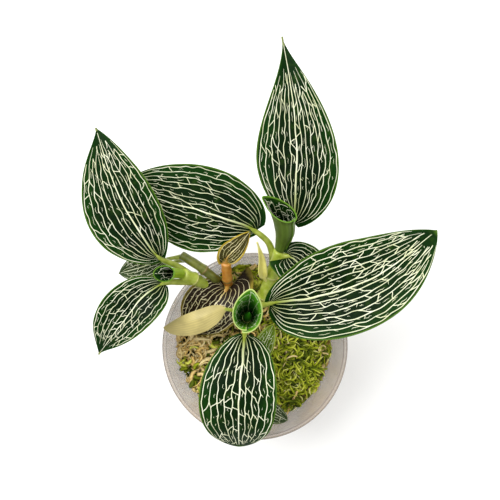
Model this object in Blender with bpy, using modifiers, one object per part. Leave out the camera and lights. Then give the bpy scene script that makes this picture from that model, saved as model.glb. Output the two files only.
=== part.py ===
"""Jewel orchid in a clear round pot: pot, sphagnum, shoots, leaves and rolled young leaves.

The origin is the centre of the pot's flat bottom, +Z is up. Sizes below are millimetres.
"""

import math
import random
from collections import namedtuple

import bmesh
import bpy
import numpy as np
from mathutils import Vector

MM = 0.001
GAP = 0.3                      # between pieces that touch

POT_HEIGHT = 75.0
RIM_RADIUS = 45.0              # outside of the rolled lip
RIM_LIP = 1.3                  # how far the lip stands out of the wall
LIP_DEPTH = 2.6
BASE_RADIUS = 30.0
WALL = 1.0
BASE_THICKNESS = 1.4
POT_SIDES = 48

MOSS_TOP = 60.0
MOSS_BUMP = 1.3
MOSS_SIDES = 32
MAT_FLOOR = 57.2               # the bed lies lower under the green mat
MAT_CENTRE = (20.0, -6.0)
MAT_REACH = (18.0, 27.0)
MAT_CROWN = 4.6
MAT_WALL_GAP = 1.2
STRAND_RADIUS = 0.75
BED_RINGS = 13                 # rings of the moss plug, the first three below its edge
MAT_SIDES = 26
MAT_RINGS = 10

BLADE = 0.7                    # thickness of a leaf blade
STALK = 1.7                    # thickness of its stalk
STALK_HALF = 1.05              # half its width
TIP_HALF = 0.55
STALK_ROWS = 3
STALK_RUN = 0.16               # part of the blade over which the stalk's thickness fades
STALK_REACH = 4.0              # how far sideways it fades
WAVE_RATE = 9.0                # how fast a blade's edge waves along its length
LOBE_BEND = 2.2                # how fast a basal lobe sweeps back towards the edge
LOBE_RUN = 0.15                # part of the blade that it takes
ROLL_ROWS = 7
ROLL_COLUMNS = 12
ROLL_HALF_TURN = 164           # degrees to either side of a rolled leaf's tip
FRONT_BEND = 1.4               # how sharply a rolled leaf's mouth rises to its tip

STEM_CLEARANCE = 0.55
RING_SWELL = 0.14              # a shoot's extra thickness at a node
RING_REACH = 0.025             # and the part of its length that it takes
RING_STEP = 0.03
ROOM_POINTS = 12               # points along the room that a shoot is given

Leaf = namedtuple("Leaf", "path half base tip fold curl wave colour columns rows lobe")
Roll = namedtuple("Roll", "path radii mouth front facing colour")
Stem = namedtuple("Stem", "path radius rings colour")

CLEAR = (0.80, 0.77, 0.72)
GREEN = (0.008, 0.035, 0.006)
GREY_GREEN = (0.03, 0.06, 0.02)
BROWN = (0.02, 0.014, 0.003)
GOLD = (0.30, 0.20, 0.02)
BEIGE = (0.45, 0.38, 0.13)
YELLOW_GREEN = (0.28, 0.36, 0.03)
PALE_YELLOW = (0.62, 0.60, 0.18)
OLIVE = (0.09, 0.10, 0.015)
ORANGE = (0.45, 0.20, 0.03)
FRESH_MOSS = (0.33, 0.38, 0.02)
DRY_MOSS = (0.72, 0.55, 0.22)

# Each shoot runs from its foot in the moss to its top; the rings are its nodes.
STEMS = {
    "shoot_centre": Stem([(-2.6, 9.0, 46), (-2.9, 11.0, 64), (-3.5, 13.0, 78), (-3.8, 13.9, 88)],
                         2.8, (0.55, 0.8), YELLOW_GREEN),
    "shoot_top": Stem([(2.6, 20.0, 46), (3.4, 21.7, 64), (6.5, 30.0, 76), (11.6, 45.4, 88)],
                      2.9, (0.45, 0.72), YELLOW_GREEN),
    "shoot_left": Stem([(-19.8, 22.0, 46), (-20.2, 23.6, 62), (-22.6, 27.6, 71), (-28.2, 31.8, 81.5),
                        (-33.8, 34.2, 89)], 2.8, (0.62, 0.84), YELLOW_GREEN),
    "shoot_olive": Stem([(-17.2, 28.4, 48), (-18.4, 31.0, 66), (-20.8, 33.6, 79.6), (-27.0, 38.4, 84.2),
                         (-35.2, 43.4, 85.0)], 2.2, (0.74,), OLIVE),
    "shoot_stub": Stem([(-12.0, 23.6, 46), (-13.2, 27.4, 62), (-13.5, 32.0, 74), (-13.7, 40.0, 85)],
                       2.4, (0.7,), ORANGE),
    "shoot_front": Stem([(-3.4, -19.8, 46), (-3.4, -20.0, 58), (-3.4, -20.4, 64), (-3.4, -20.8, 70)],
                        1.7, (0.7,), YELLOW_GREEN),
}

# A leaf's path starts on its shoot's axis and ends at the tip. Its blade starts at the second point,
# or at the third where the path has more than four.
# half, base, tip, fold, curl: the left and right halves, looking from base to tip.
LEAVES = {
    "leaf_top": Leaf([(9.9, 40.3, 83.6), (15.4, 49.0, 85.2), (17.4, 57.5, 91.0), (17.9, 70.0, 99.5),
                      (17.8, 87.5, 107), (15.5, 109.7, 114), (11.1, 133.3, 118)],
                     (18.4, 18.6), (1.15, 0.65), (1.75, 1.4), (9, 7), (14, 10), 0.4, GREEN, 8, 12,
                     (1.0, 2.0)),
    "leaf_upper_left": Leaf([(-28.6, 32.2, 82.8), (-36.0, 37.8, 88.0), (-42.7, 41.0, 96),
                             (-51.1, 52.9, 105), (-61.7, 75.5, 111), (-68.3, 96.0, 112)],
                            (17.4, 14.8), (0.9, 0.7), (1.3, 0.95), (8, 8), (12, 12), 0.4, GREEN, 8, 12,
                            (2.0, 2.0)),
    "leaf_behind": Leaf([(9.2, 38.6, 83.0), (6.6, 48.5, 86.5), (0.4, 53.9, 89.5), (-15.4, 60.0, 94),
                         (-39.1, 66.6, 96), (-61.6, 75.7, 90)],
                        (19.4, 20.4), (0.8, 0.45), (1.1, 0.7), (-13, 8), (-8, 10), 0.5, GREEN, 8, 12,
                        (1.5, 2.0)),
    "leaf_lower_left": Leaf([(-27.2, 31.0, 80.8), (-35.0, 30.6, 88.0), (-41.2, 30.0, 94),
                             (-47.3, 26.0, 97.5), (-59.9, 11.0, 98), (-71.8, -2.5, 88)],
                            (11.4, 13.2), (0.55, 0.9), (1.3, 1.1), (10, 10), (12, 12), 0.3, GREEN, 8,
                            11, (1.0, 1.0)),
    "leaf_right": Leaf([(-3.6, 13.2, 84.0), (1.6, 19.2, 88.5), (6.5, 20.8, 94), (23.6, 23.5, 104),
                        (48.4, 31.6, 110), (76.5, 52.0, 112)],
                       (20.0, 19.8), (0.8, 0.5), (0.95, 0.75), (10, 6), (14, 10), 0.6, GREEN, 8, 13,
                       (3.0, 2.0)),
    "leaf_bottom": Leaf([(-3.3, 12.2, 81.0), (-4.2, 9.6, 86.5), (-4.8, 6.6, 91.5), (-5.5, -3.3, 98.5),
                         (-7.1, -18.3, 102), (-7.4, -34.0, 96), (-7.4, -44.8, 85)],
                        (16.4, 17.4), (0.5, 0.6), (0.5, 0.6), (4, 4), (-12, -12), 0.3, GREEN, 8, 12,
                        (1.0, 1.0)),
    "leaf_brown": Leaf([(-13.4, 29.4, 69.0), (-15.6, 24.4, 72.6), (-23.5, 17.0, 75.0),
                        (-32.5, 8.2, 73.0)],
                       (12.5, 13.5), (0.8, 0.6), (0.8, 0.7), (12, 12), (14, 8), 0.4, BROWN, 8, 9,
                       (8.0, 3.0)),
    "leaf_gold_edge": Leaf([(-13.7, 38.2, 82.2), (-13.2, 41.4, 88.2), (-8.0, 46.4, 95),
                            (-2.4, 52.8, 100)],
                           (5.6, 5.2), (0.45, 0.45), (0.9, 0.9), (14, 10), (16, 16), 0.2, GOLD, 6, 8,
                           (2.0, 2.0)),
    "leaf_dry_folded": Leaf([(-3.4, 12.6, 79.6), (-8.2, 16.3, 83.3), (-13.5, 17.9, 87),
                             (-26.0, 13.6, 89), (-43.3, 9.0, 81)],
                            (5.4, 4.2), (0.5, 0.6), (0.6, 0.9), (-10, -10), (-16, -16), 0.3, BEIGE, 6,
                            9, (0.0, 0.0)),
    "leaf_heart": Leaf([(9.6, 39.8, 83.6), (14.8, 42.4, 87.6), (23.1, 36.6, 88.5), (33.2, 27.4, 84)],
                       (10.5, 11.0), (0.45, 0.45), (0.8, 0.8), (8, 8), (12, 14), 0.3, GREEN, 8, 9,
                       (3.5, 4.5)),
    "leaf_netted": Leaf([(-3.4, -20.3, 66.5), (-1.8, -14.0, 72.5), (3.2, -1.5, 76.5),
                         (8.7, 10.4, 79.5)],
                        (5.5, 5.5), (0.7, 0.7), (0.7, 0.7), (12, 12), (16, 16), 0.3, YELLOW_GREEN, 6,
                        8, (1.0, 1.0)),
    "leaf_rim": Leaf([(-3.4, -20.5, 68.0), (1.5, -26.2, 72.5), (8.2, -31.6, 75.0), (15.6, -35.8, 74.0)],
                     (4.8, 5.0), (0.6, 0.6), (0.7, 0.7), (8, 8), (14, 14), 0.3, GREY_GREEN, 6, 8,
                     (1.0, 1.0)),
    "leaf_grey": Leaf([(-34.2, 42.6, 84.0), (-42.2, 41.0, 87.0), (-51.8, 38.0, 85.5),
                       (-64.9, 34.7, 80.5)],
                      (6.2, 6.2), (0.7, 0.7), (0.8, 0.8), (10, 8), (14, 12), 0.3, GREY_GREEN, 6, 8,
                      (1.0, 1.0)),
    "leaf_hidden": Leaf([(-31.5, 41.2, 82.8), (-40.5, 39.6, 79.0), (-49.5, 32.0, 77.0),
                         (-58.5, 20.5, 75.5)],
                        (3.4, 3.4), (0.8, 0.8), (0.7, 0.7), (10, 10), (14, 14), 0.2, OLIVE, 6, 8,
                        (0.0, 0.0)),
    "bract_pale": Leaf([(6.6, 30.4, 76.6), (4.2, 33.0, 82.5), (2.9, 41.6, 91.0), (0.8, 48.4, 97)],
                       (1.5, 1.5), (0.5, 0.5), (0.9, 0.9), (12, 12), (20, 20), 0.0, PALE_YELLOW, 4, 8,
                       (0.0, 0.0)),
}

# A rolled leaf: radii at its foot, middle and mouth; mouth stretches the last one along `facing`.
ROLLS = {
    "rolled_centre": Roll([(-3.85, 14.0, 88.6), (-3.8, 15.2, 98), (-3.5, 17.2, 122)],
                          (2.3, 4.8, 6.2), 1.45, 0.62, (0, 1, 0), YELLOW_GREEN),
    "rolled_top": Roll([(11.75, 46.0, 88.4), (12.6, 49.3, 92.3), (12.8, 52.2, 100), (12.6, 59.5, 117)],
                       (2.4, 3.2, 5.0), 2.1, 0.52, (-0.75, 0.66, 0), GREEN),
    "rolled_left": Roll([(-34.3, 34.3, 89.9), (-36.4, 34.4, 94), (-40.6, 33.8, 105)],
                        (1.9, 2.3, 2.9), 1.1, 0.7, (-1, 0, 0), GREEN),
}


def material(name, colour, roughness=0.5, alpha=1.0):
    """A Principled material with one colour."""
    made = bpy.data.materials.new(name)
    made.use_nodes = True
    shader = made.node_tree.nodes["Principled BSDF"]
    shader.inputs["Base Color"].default_value = (*colour, 1.0)
    shader.inputs["Roughness"].default_value = roughness
    shader.inputs["Metallic"].default_value = 0.0
    shader.inputs["Alpha"].default_value = alpha
    made.diffuse_color = (*colour, alpha)
    return made


def new_collection(name):
    made = bpy.data.collections.new(name)
    bpy.context.scene.collection.children.link(made)
    return made


def mesh_object(name, mesh, collection, finish=None):
    """An object of the mesh, in the collection."""
    made = bpy.data.objects.new(name, mesh)
    collection.objects.link(made)
    if finish:
        mesh.materials.append(finish)
    return made


def as_cutter(obj):
    obj.hide_render = True
    obj.display_type = "WIRE"
    return obj


def baked(obj):
    """Replace the object's mesh by what its modifiers make of it."""
    graph = bpy.context.evaluated_depsgraph_get()
    made = bpy.data.meshes.new_from_object(obj.evaluated_get(graph))
    obj.modifiers.clear()
    obj.data = made
    return obj


def islands(bm):
    """The groups of vertices that hold together."""
    left = set(bm.verts)
    groups = []
    while left:
        queue = [left.pop()]
        group = set(queue)
        while queue:
            for edge in queue.pop().link_edges:
                for vert in edge.verts:
                    if vert in left:
                        left.discard(vert)
                        group.add(vert)
                        queue.append(vert)
        groups.append(group)
    return groups


def keep_largest(obj):
    """Drop loose scraps that a cut has left."""
    bm = bmesh.new()
    bm.from_mesh(obj.data)
    groups = sorted(islands(bm), key=len, reverse=True)
    for group in groups[1:]:
        bmesh.ops.delete(bm, geom=list(group), context="VERTS")
    bmesh.ops.triangulate(bm, faces=bm.faces[:])
    bm.to_mesh(obj.data)
    bm.free()
    return obj


def boolean(obj, operation, collection):
    cut = obj.modifiers.new(operation.title(), "BOOLEAN")
    cut.operation = operation
    cut.operand_type = "COLLECTION"
    cut.collection = collection
    cut.solver = "EXACT"
    return cut


def smooth_path(points, count):
    """Evenly spaced points on a smooth curve through the given ones."""
    given = np.array(points, float)
    knots = np.r_[0.0, np.cumsum(np.linalg.norm(np.diff(given, axis=0), axis=1))]
    slopes = np.gradient(given, knots, axis=0)
    fine = np.linspace(0.0, knots[-1], 400)
    spans = np.clip(np.searchsorted(knots, fine, side="right") - 1, 0, len(given) - 2)
    width = (knots[spans + 1] - knots[spans])[:, None]
    x = (fine - knots[spans])[:, None] / width
    curve = ((2 * x**3 - 3 * x**2 + 1) * given[spans] + (x**3 - 2 * x**2 + x) * width * slopes[spans]
             + (3 * x**2 - 2 * x**3) * given[spans + 1] + (x**3 - x**2) * width * slopes[spans + 1])
    along = np.r_[0.0, np.cumsum(np.linalg.norm(np.diff(curve, axis=0), axis=1))]
    places = count if np.ndim(count) else np.linspace(0.0, 1.0, count)
    return np.array([[np.interp(place * along[-1], along, curve[:, axis]) for axis in range(3)]
                     for place in np.asarray(places)])


def tube(name, points, radii, collection, finish=None, resolution=2):
    """A closed round bar along the points, made a mesh."""
    curve = bpy.data.curves.new(name + "_line", "CURVE")
    curve.dimensions = "3D"
    curve.bevel_depth = MM
    curve.bevel_resolution = resolution
    curve.use_fill_caps = True
    spline = curve.splines.new("POLY")
    spline.points.add(len(points) - 1)
    for point, place, radius in zip(spline.points, points, radii):
        point.co = (*(np.array(place) * MM), 1.0)
        point.radius = radius
    line = bpy.data.objects.new(name + "_line", curve)
    collection.objects.link(line)
    graph = bpy.context.evaluated_depsgraph_get()
    mesh = bpy.data.meshes.new_from_object(line.evaluated_get(graph))
    made = mesh_object(name, mesh, collection, finish)
    bpy.data.objects.remove(line)
    bm = bmesh.new()
    bm.from_mesh(mesh)
    bmesh.ops.remove_doubles(bm, verts=bm.verts[:], dist=0.00001)
    bmesh.ops.recalc_face_normals(bm, faces=bm.faces[:])
    bmesh.ops.triangulate(bm, faces=bm.faces[:])
    bm.to_mesh(mesh)
    bm.free()
    return made


def ring_swell(place, rings):
    """A shoot is a little thicker at each of its nodes."""
    return 1.0 + RING_SWELL * sum(math.exp(-((place - ring) / RING_REACH) ** 2) for ring in rings)


def shoot(name, stem, collection):
    """A fleshy shoot, with points of its own at each ring."""
    at_rings = {ring + step for ring in stem.rings for step in (-RING_STEP, 0, RING_STEP)}
    places = sorted(set(np.linspace(0.0, 1.0, 10)) | at_rings)
    points = smooth_path(stem.path, places)
    radii = [stem.radius * ring_swell(place, stem.rings) for place in places]
    return tube(name, points, radii, collection, material(name, stem.colour, 0.4))


def shoot_clearance(name, stem, collection):
    """The room that a shoot needs in the moss and where a leaf's stalk meets it."""
    points = smooth_path(stem.path, ROOM_POINTS)
    start = points[0] + (points[0] - points[1]) * 0.15
    last_step = points[-1] - points[-2]
    end = points[-1] + last_step / np.linalg.norm(last_step) * GAP
    points = np.vstack([start, points[1:-1], end])
    radii = []
    for place in np.linspace(0.0, 1.0, ROOM_POINTS):
        near = (place - RING_STEP, place, place + RING_STEP)
        widest = stem.radius * max(ring_swell(part, stem.rings) for part in near)
        radii.append(widest + STEM_CLEARANCE)
    return as_cutter(tube(name + "_room", points, radii, collection))


def pot(collection):
    """A clear cup: one turned profile, with a rolled lip."""
    outer = RIM_RADIUS - RIM_LIP
    inner = outer - WALL
    slope = (outer - BASE_RADIUS) / POT_HEIGHT
    lip_end = POT_HEIGHT - LIP_DEPTH
    profile = [(0, BASE_THICKNESS), (BASE_RADIUS - WALL - 1.5, BASE_THICKNESS),
               (BASE_RADIUS - WALL + slope * 3, BASE_THICKNESS + 1.6), (inner - slope * 6, POT_HEIGHT - 6),
               (inner, POT_HEIGHT - 0.4), (inner + 0.4, POT_HEIGHT), (RIM_RADIUS - 0.5, POT_HEIGHT),
               (RIM_RADIUS, POT_HEIGHT - 0.6), (RIM_RADIUS, lip_end + 0.5), (RIM_RADIUS - 0.5, lip_end),
               (outer - slope * 3.2, lip_end - 0.6), (BASE_RADIUS + slope * 1.5, 1.5), (BASE_RADIUS - 1.0, 0),
               (0, 0)]
    mesh = bpy.data.meshes.new("pot_clear")
    mesh.from_pydata([(radius * MM, 0, height * MM) for radius, height in profile],
                     [(index, index + 1) for index in range(len(profile) - 1)], [])
    made = mesh_object("pot_clear", mesh, collection)
    turn = made.modifiers.new("Turn", "SCREW")
    turn.steps = POT_SIDES
    turn.render_steps = POT_SIDES
    turn.use_merge_vertices = True
    turn.merge_threshold = 0.00001
    turn.use_smooth_shade = False
    baked(made)
    made.data.materials.append(material("clear plastic", CLEAR, 0.15, 0.35))
    return made


def wall_radius(height):
    """The pot's inside radius at a height."""
    outer = RIM_RADIUS - RIM_LIP
    return BASE_RADIUS - WALL + (outer - BASE_RADIUS) * height / POT_HEIGHT


def bumps(x, y):
    """The moss's lumpy top, from -1 to 1."""
    return (math.sin(0.42 * x + 1.3) * math.cos(0.37 * y) + 0.6 * math.sin(0.81 * x - 0.53 * y)
            + 0.4 * math.cos(0.95 * y + 0.6 * x)) / 2


def mat_reach(x, y):
    """Below 1 inside the green mat's outline."""
    return math.hypot((x - MAT_CENTRE[0]) / MAT_REACH[0], (y - MAT_CENTRE[1]) / MAT_REACH[1])


def bed_height(x, y):
    """The bed's top, lowered under the green mat."""
    lowered = MAT_FLOOR - GAP
    full = MOSS_TOP + MOSS_BUMP * bumps(x, y)
    blend = min(1.0, max(0.0, (mat_reach(x, y) - 1.3) / 0.3))
    return lowered + (full - lowered) * blend


def moss_plug(collection):
    """Packed moss that fills the pot, with a lumpy top."""
    edge_height = MOSS_TOP - 3
    lowered_edge = MAT_FLOOR - GAP - 0.4
    heel_height = 6.0
    edge = 3                       # the ring that stands at the plug's upper edge
    top_radius = wall_radius(edge_height) - GAP * 1.4
    bm = bmesh.new()
    bmesh.ops.create_uvsphere(bm, u_segments=MOSS_SIDES, v_segments=BED_RINGS, radius=1.0)
    for vert in bm.verts:
        level = round((1 - math.acos(max(-1, min(1, vert.co.z))) / math.pi) * BED_RINGS)
        angle = math.atan2(vert.co.y, vert.co.x)
        if level >= edge:
            radius = top_radius * (BED_RINGS - level) / (BED_RINGS - edge)
        else:
            radius = (0.0, wall_radius(0) - 2.2, wall_radius(heel_height) - GAP * 1.6)[level]
        x = radius * math.cos(angle)
        y = radius * math.sin(angle)
        if level > edge:
            height = bed_height(x, y)
        elif level == edge:
            height = lowered_edge if mat_reach(x, y) < 1.45 else edge_height
        else:
            height = (BASE_THICKNESS + GAP, BASE_THICKNESS + GAP, heel_height)[level]
        place = (x, y, height)
        vert.co = Vector(place) * MM
    bmesh.ops.triangulate(bm, faces=bm.faces[:])
    mesh = bpy.data.meshes.new("sphagnum_bed")
    bm.to_mesh(mesh)
    bm.free()
    return mesh_object("sphagnum_bed", mesh, collection, material("dry sphagnum", DRY_MOSS, 0.9))


def moss_mat(collection):
    """A low cushion of fresh moss on the right of the bed."""
    bm = bmesh.new()
    bmesh.ops.create_uvsphere(bm, u_segments=MAT_SIDES, v_segments=MAT_RINGS, radius=1.0)
    for vert in bm.verts:
        spread = math.sqrt(max(0.0, 1 - vert.co.z**2)) * (0.97 if vert.co.z < -0.01 else 1.0)
        angle = math.atan2(vert.co.y, vert.co.x)
        x = MAT_CENTRE[0] + MAT_REACH[0] * spread * math.cos(angle)
        y = MAT_CENTRE[1] + MAT_REACH[1] * spread * math.sin(angle)
        limit = wall_radius(MAT_FLOOR) - MAT_WALL_GAP
        pull = min(1.0, limit / max(1e-6, math.hypot(x, y)))
        x *= pull
        y *= pull
        height = MAT_FLOOR
        if vert.co.z > 0.01:
            height += MAT_CROWN * vert.co.z**0.6 + 0.9 * bumps(1.6 * x, 1.6 * y) * vert.co.z
        elif vert.co.z > -0.01:
            height += 0.6
        vert.co = Vector((x, y, height)) * MM
    bmesh.ops.triangulate(bm, faces=bm.faces[:])
    mesh = bpy.data.meshes.new("sphagnum_green")
    bm.to_mesh(mesh)
    bm.free()
    return mesh_object("sphagnum_green", mesh, collection, material("fresh sphagnum", FRESH_MOSS, 0.9))


def clear_of_shoots(x, y, room):
    """Whether a place on the moss is clear of every shoot, from its foot to 10 mm above the moss."""
    for stem in STEMS.values():
        for height_part in (0.25, 0.4, 0.55):
            px, py, _ = smooth_path(stem.path, [height_part])[0]
            if math.hypot(x - px, y - py) < stem.radius + room:
                return False
    return True


def strands(base, count, seed, inside, top_of, reach):
    """Curling strands with their roots sunk in the moss, one united with it."""
    rng = random.Random(seed)
    loose = new_collection(base.name + "_strands")
    placed = 0
    while placed < count:
        angle = rng.uniform(0, 2 * math.pi)
        radius = (wall_radius(MAT_FLOOR) - 4.0) * math.sqrt(rng.random())
        x = radius * math.cos(angle)
        y = radius * math.sin(angle)
        heading = rng.uniform(0, 2 * math.pi)
        length = rng.uniform(0.7, 1.0) * reach
        ends = [(x + length * part * math.cos(heading + 0.9 * part),
                 y + length * part * math.sin(heading + 0.9 * part)) for part in (0.0, 0.4, 0.75, 1.0)]
        if not all(inside(*end) and clear_of_shoots(*end, 2.2) for end in ends):
            continue
        if max(math.hypot(*end) for end in ends) > wall_radius(MAT_FLOOR) - 1.6:
            continue
        rise = rng.uniform(1.8, 3.0)
        lifts = (-2.0, rise, rise * 1.1, rise * 0.55)
        points = [(end[0], end[1], top_of(x, y) + lift) for end, lift in zip(ends, lifts)]
        radii = [STRAND_RADIUS, STRAND_RADIUS * 0.95, STRAND_RADIUS * 0.8, STRAND_RADIUS * 0.35]
        tube(f"{base.name}_strand_{placed}", points, radii, loose, resolution=0)
        placed += 1
    boolean(base, "UNION", loose)
    baked(base)
    for strand in list(loose.objects):
        bpy.data.objects.remove(strand)
    bpy.data.collections.remove(loose)
    return keep_largest(base)


def outline(place, half, base, tip):
    """A leaf half's width at a place from 0, its base, to 1, its tip."""
    peak = base / (base + tip)
    most = peak**base * (1 - peak) ** tip
    return half * max(0.0, place) ** base * max(0.0, 1 - place) ** tip / most


def frame_on(points, index, facing=(0, 0, 1)):
    """Tangent, left side and upper normal of a path at one of its points."""
    ahead = points[min(index + 1, len(points) - 1)]
    behind = points[max(index - 1, 0)]
    tangent = Vector(ahead - behind).normalized()
    side = Vector(facing).cross(tangent).normalized()
    return tangent, side, tangent.cross(side)


def leaf_blade(name, leaf, collection, rooms):
    """A stalk and a waved blade: a grid laid along the leaf's path, thickened downwards."""
    rows = leaf.rows
    given = np.array(leaf.path, float)
    lengths = np.r_[0.0, np.cumsum(np.linalg.norm(np.diff(given, axis=0), axis=1))]
    stalk_points = 2 if len(given) > 4 else 1
    foot = lengths[stalk_points] / lengths[-1]
    steps = [step / rows for step in range(rows + 1)]
    blade_places = [(step + (1 - math.cos(math.pi * step)) / 2) / 2 for step in steps]
    places = [foot * step / STALK_ROWS for step in range(STALK_ROWS)]
    places += [foot + (1 - foot) * place for place in blade_places]
    points = smooth_path(leaf.path, places)
    bm = bmesh.new()
    bmesh.ops.create_grid(bm, x_segments=leaf.columns, y_segments=len(places) - 1, size=1.0)
    weights = {}
    for vert in bm.verts:
        across = -vert.co.x
        row = round((vert.co.y + 1) / 2 * (len(places) - 1))
        place = blade_places[row - STALK_ROWS] if row >= STALK_ROWS else 0.0
        tangent, side, normal = frame_on(points, row)
        hand = 0 if across > 0 else 1
        width = outline(place, leaf.half[hand], leaf.base[hand], leaf.tip[hand])
        stalk_half = STALK_HALF * (1 - place) + TIP_HALF * place
        width = max(width, min(STALK_HALF, stalk_half))
        spread = abs(across)
        turn = math.radians(leaf.curl[hand])
        out = width * math.sin(turn * spread) / turn if abs(turn) > 0.01 else width * spread
        lift = width * (1 - math.cos(turn * spread)) / turn if abs(turn) > 0.01 else 0.0
        fold = math.radians(leaf.fold[hand])
        reach = out * math.cos(fold) - lift * math.sin(fold)
        rise = out * math.sin(fold) + lift * math.cos(fold)
        if row >= STALK_ROWS:
            ripple = math.sin(WAVE_RATE * place + 2.0 * hand) * math.sin(math.pi * place)
            rise += leaf.wave * spread**2 * ripple
        back = 0.0
        if row > STALK_ROWS:
            back = leaf.lobe[hand] * spread**LOBE_BEND * math.exp(-place / LOBE_RUN)
        sideways = side * (reach if across > 0 else -reach)
        point = Vector(points[row]) + sideways + normal * rise - tangent * back
        vert.co = point * MM
        weights[vert.index] = max(0.0, 1 - place / STALK_RUN) if row >= STALK_ROWS else 1.0
        weights[vert.index] *= 1 - min(1.0, spread * width / STALK_REACH)
    bmesh.ops.triangulate(bm, faces=bm.faces[:])
    mesh = bpy.data.meshes.new(name)
    bm.normal_update()
    if sum(face.normal.z for face in bm.faces) < 0:
        bmesh.ops.reverse_faces(bm, faces=bm.faces[:])
    bm.to_mesh(mesh)
    bm.free()
    made = mesh_object(name, mesh, collection, material(name, leaf.colour, 0.4))
    group = made.vertex_groups.new(name="stalk")
    for index, weight in weights.items():
        group.add([index], weight, "REPLACE")
    thick = made.modifiers.new("Thickness", "SOLIDIFY")
    thick.thickness = STALK * MM
    thick.offset = 0.0
    thick.vertex_group = "stalk"
    thick.thickness_vertex_group = BLADE / STALK
    boolean(made, "DIFFERENCE", rooms)
    return keep_largest(baked(made))


def rolled_leaf(name, roll, collection, rooms):
    """A young leaf still rolled round its axis, its tip on the facing side and a slot opposite."""
    half_turn = math.radians(ROLL_HALF_TURN)
    bm = bmesh.new()
    bmesh.ops.create_grid(bm, x_segments=ROLL_COLUMNS, y_segments=ROLL_ROWS, size=1.0)
    facing = Vector(roll.facing).normalized()
    for vert in bm.verts:
        angle = vert.co.x * half_turn
        reach = roll.front + (1 - roll.front) * ((1 + math.cos(angle)) / 2) ** FRONT_BEND
        place = (vert.co.y + 1) / 2 * reach
        centre = Vector(smooth_path(roll.path, [place])[0])
        near = smooth_path(roll.path, [max(0.0, place - 0.02), min(1.0, place + 0.02)])
        tangent = Vector(near[1] - near[0]).normalized()
        front = (facing - tangent * facing.dot(tangent)).normalized()
        side = tangent.cross(front)
        radius = np.interp(place, (0.0, 0.45, 1.0), roll.radii)
        stretch = 1 + (roll.mouth - 1) * place
        point = centre + front * (radius * stretch * math.cos(angle)) + side * (radius * math.sin(angle))
        vert.co = point * MM
    bmesh.ops.triangulate(bm, faces=bm.faces[:])
    mesh = bpy.data.meshes.new(name)
    bm.to_mesh(mesh)
    bm.free()
    made = mesh_object(name, mesh, collection, material(name, roll.colour, 0.4))
    thick = made.modifiers.new("Thickness", "SOLIDIFY")
    thick.thickness = BLADE * MM
    thick.offset = 0.0
    boolean(made, "DIFFERENCE", rooms)
    return keep_largest(baked(made))


def main():
    """Build every piece."""
    for obj in list(bpy.data.objects):
        bpy.data.objects.remove(obj)
    orchid = new_collection("jewel_orchid")
    rooms = new_collection("rooms")
    for name, stem in STEMS.items():
        shoot(name, stem, orchid)
        shoot_clearance(name, stem, rooms)
    pot(orchid)
    bed = moss_plug(orchid)
    strands(bed, 34, 11, lambda x, y: mat_reach(x, y) > 1.5, bed_height, 7.5)
    boolean(bed, "DIFFERENCE", rooms)
    keep_largest(baked(bed))
    mat = moss_mat(orchid)
    strands(mat, 36, 7, lambda x, y: mat_reach(x, y) < 0.85, lambda x, y: MAT_FLOOR + MAT_CROWN * 0.8, 6.5)
    for name, leaf in LEAVES.items():
        leaf_blade(name, leaf, orchid, rooms)
    for name, roll in ROLLS.items():
        rolled_leaf(name, roll, orchid, rooms)
    for cutter in list(rooms.objects):
        bpy.data.objects.remove(cutter)
    for obj in orchid.objects:
        for polygon in obj.data.polygons:
            polygon.use_smooth = True


main()
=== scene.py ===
"""Jewel orchid in a clear round cup: net-veined leaves, fleshy shoots, sphagnum and the cup itself."""

import math
import random

import bpy
import numpy as np
from bpy.props import FloatProperty, FloatVectorProperty, IntProperty, PointerProperty
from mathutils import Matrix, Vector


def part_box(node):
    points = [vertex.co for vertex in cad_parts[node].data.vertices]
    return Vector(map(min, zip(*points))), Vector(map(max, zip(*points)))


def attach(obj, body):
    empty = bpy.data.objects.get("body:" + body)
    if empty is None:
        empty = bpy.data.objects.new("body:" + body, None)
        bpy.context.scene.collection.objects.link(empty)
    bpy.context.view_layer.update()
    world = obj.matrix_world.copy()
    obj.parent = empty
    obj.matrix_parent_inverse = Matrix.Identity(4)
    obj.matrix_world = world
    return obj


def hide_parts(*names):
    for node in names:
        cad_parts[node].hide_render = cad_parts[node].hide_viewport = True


bl_info = {
    "name": "Jewel orchid in a clear cup",
    "version": (1, 0, 0),
    "blender": (4, 5, 0),
    "location": "View3D > Sidebar > Orchid",
    "description": "Builds the leaves, shoots, moss and cup round the packed model",
    "category": "Object",
}

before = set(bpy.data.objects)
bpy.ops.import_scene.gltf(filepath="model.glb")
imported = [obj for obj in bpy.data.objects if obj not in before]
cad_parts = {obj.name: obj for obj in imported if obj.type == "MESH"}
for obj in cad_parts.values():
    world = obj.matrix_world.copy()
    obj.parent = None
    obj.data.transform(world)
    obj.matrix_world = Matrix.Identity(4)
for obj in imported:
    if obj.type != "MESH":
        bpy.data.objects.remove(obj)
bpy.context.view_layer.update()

MM = 0.001
UP = np.array([0.0, 0.0, 1.0])
LEAF_UV = "LeafUV"
TONE = "tone"
POT_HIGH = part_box("pot_clear")[1]

# Sizes in mm, and angles in the table of the leaves in degrees, down to the property groups
BLADE = 0.46          # thickness of a blade
VEIN_WIDTH = 0.5      # width of a main vein; the vein width that a user sets is measured against it
STALK_HALF = 1.05     # half width of a blade where it leaves its stalk
TIP_HALF = 0.3        # and at its tip
BIG_LEAF = 8          # a leaf with a larger half width gets a finer grid and a full stalk
WAVES = 9             # how closely the ripples of a blade follow each other
LOBE_FROM = 0.005     # place from which a basal lobe sweeps back
LOBE_RUN = 0.15       # share of the leaf in which it dies out
LOBE_BEND = 2.2
DEEP_LOBE = 15        # a deeper lobe is an ear, and starts nearer to the midrib
EAR_BEND = 1.4

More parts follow.
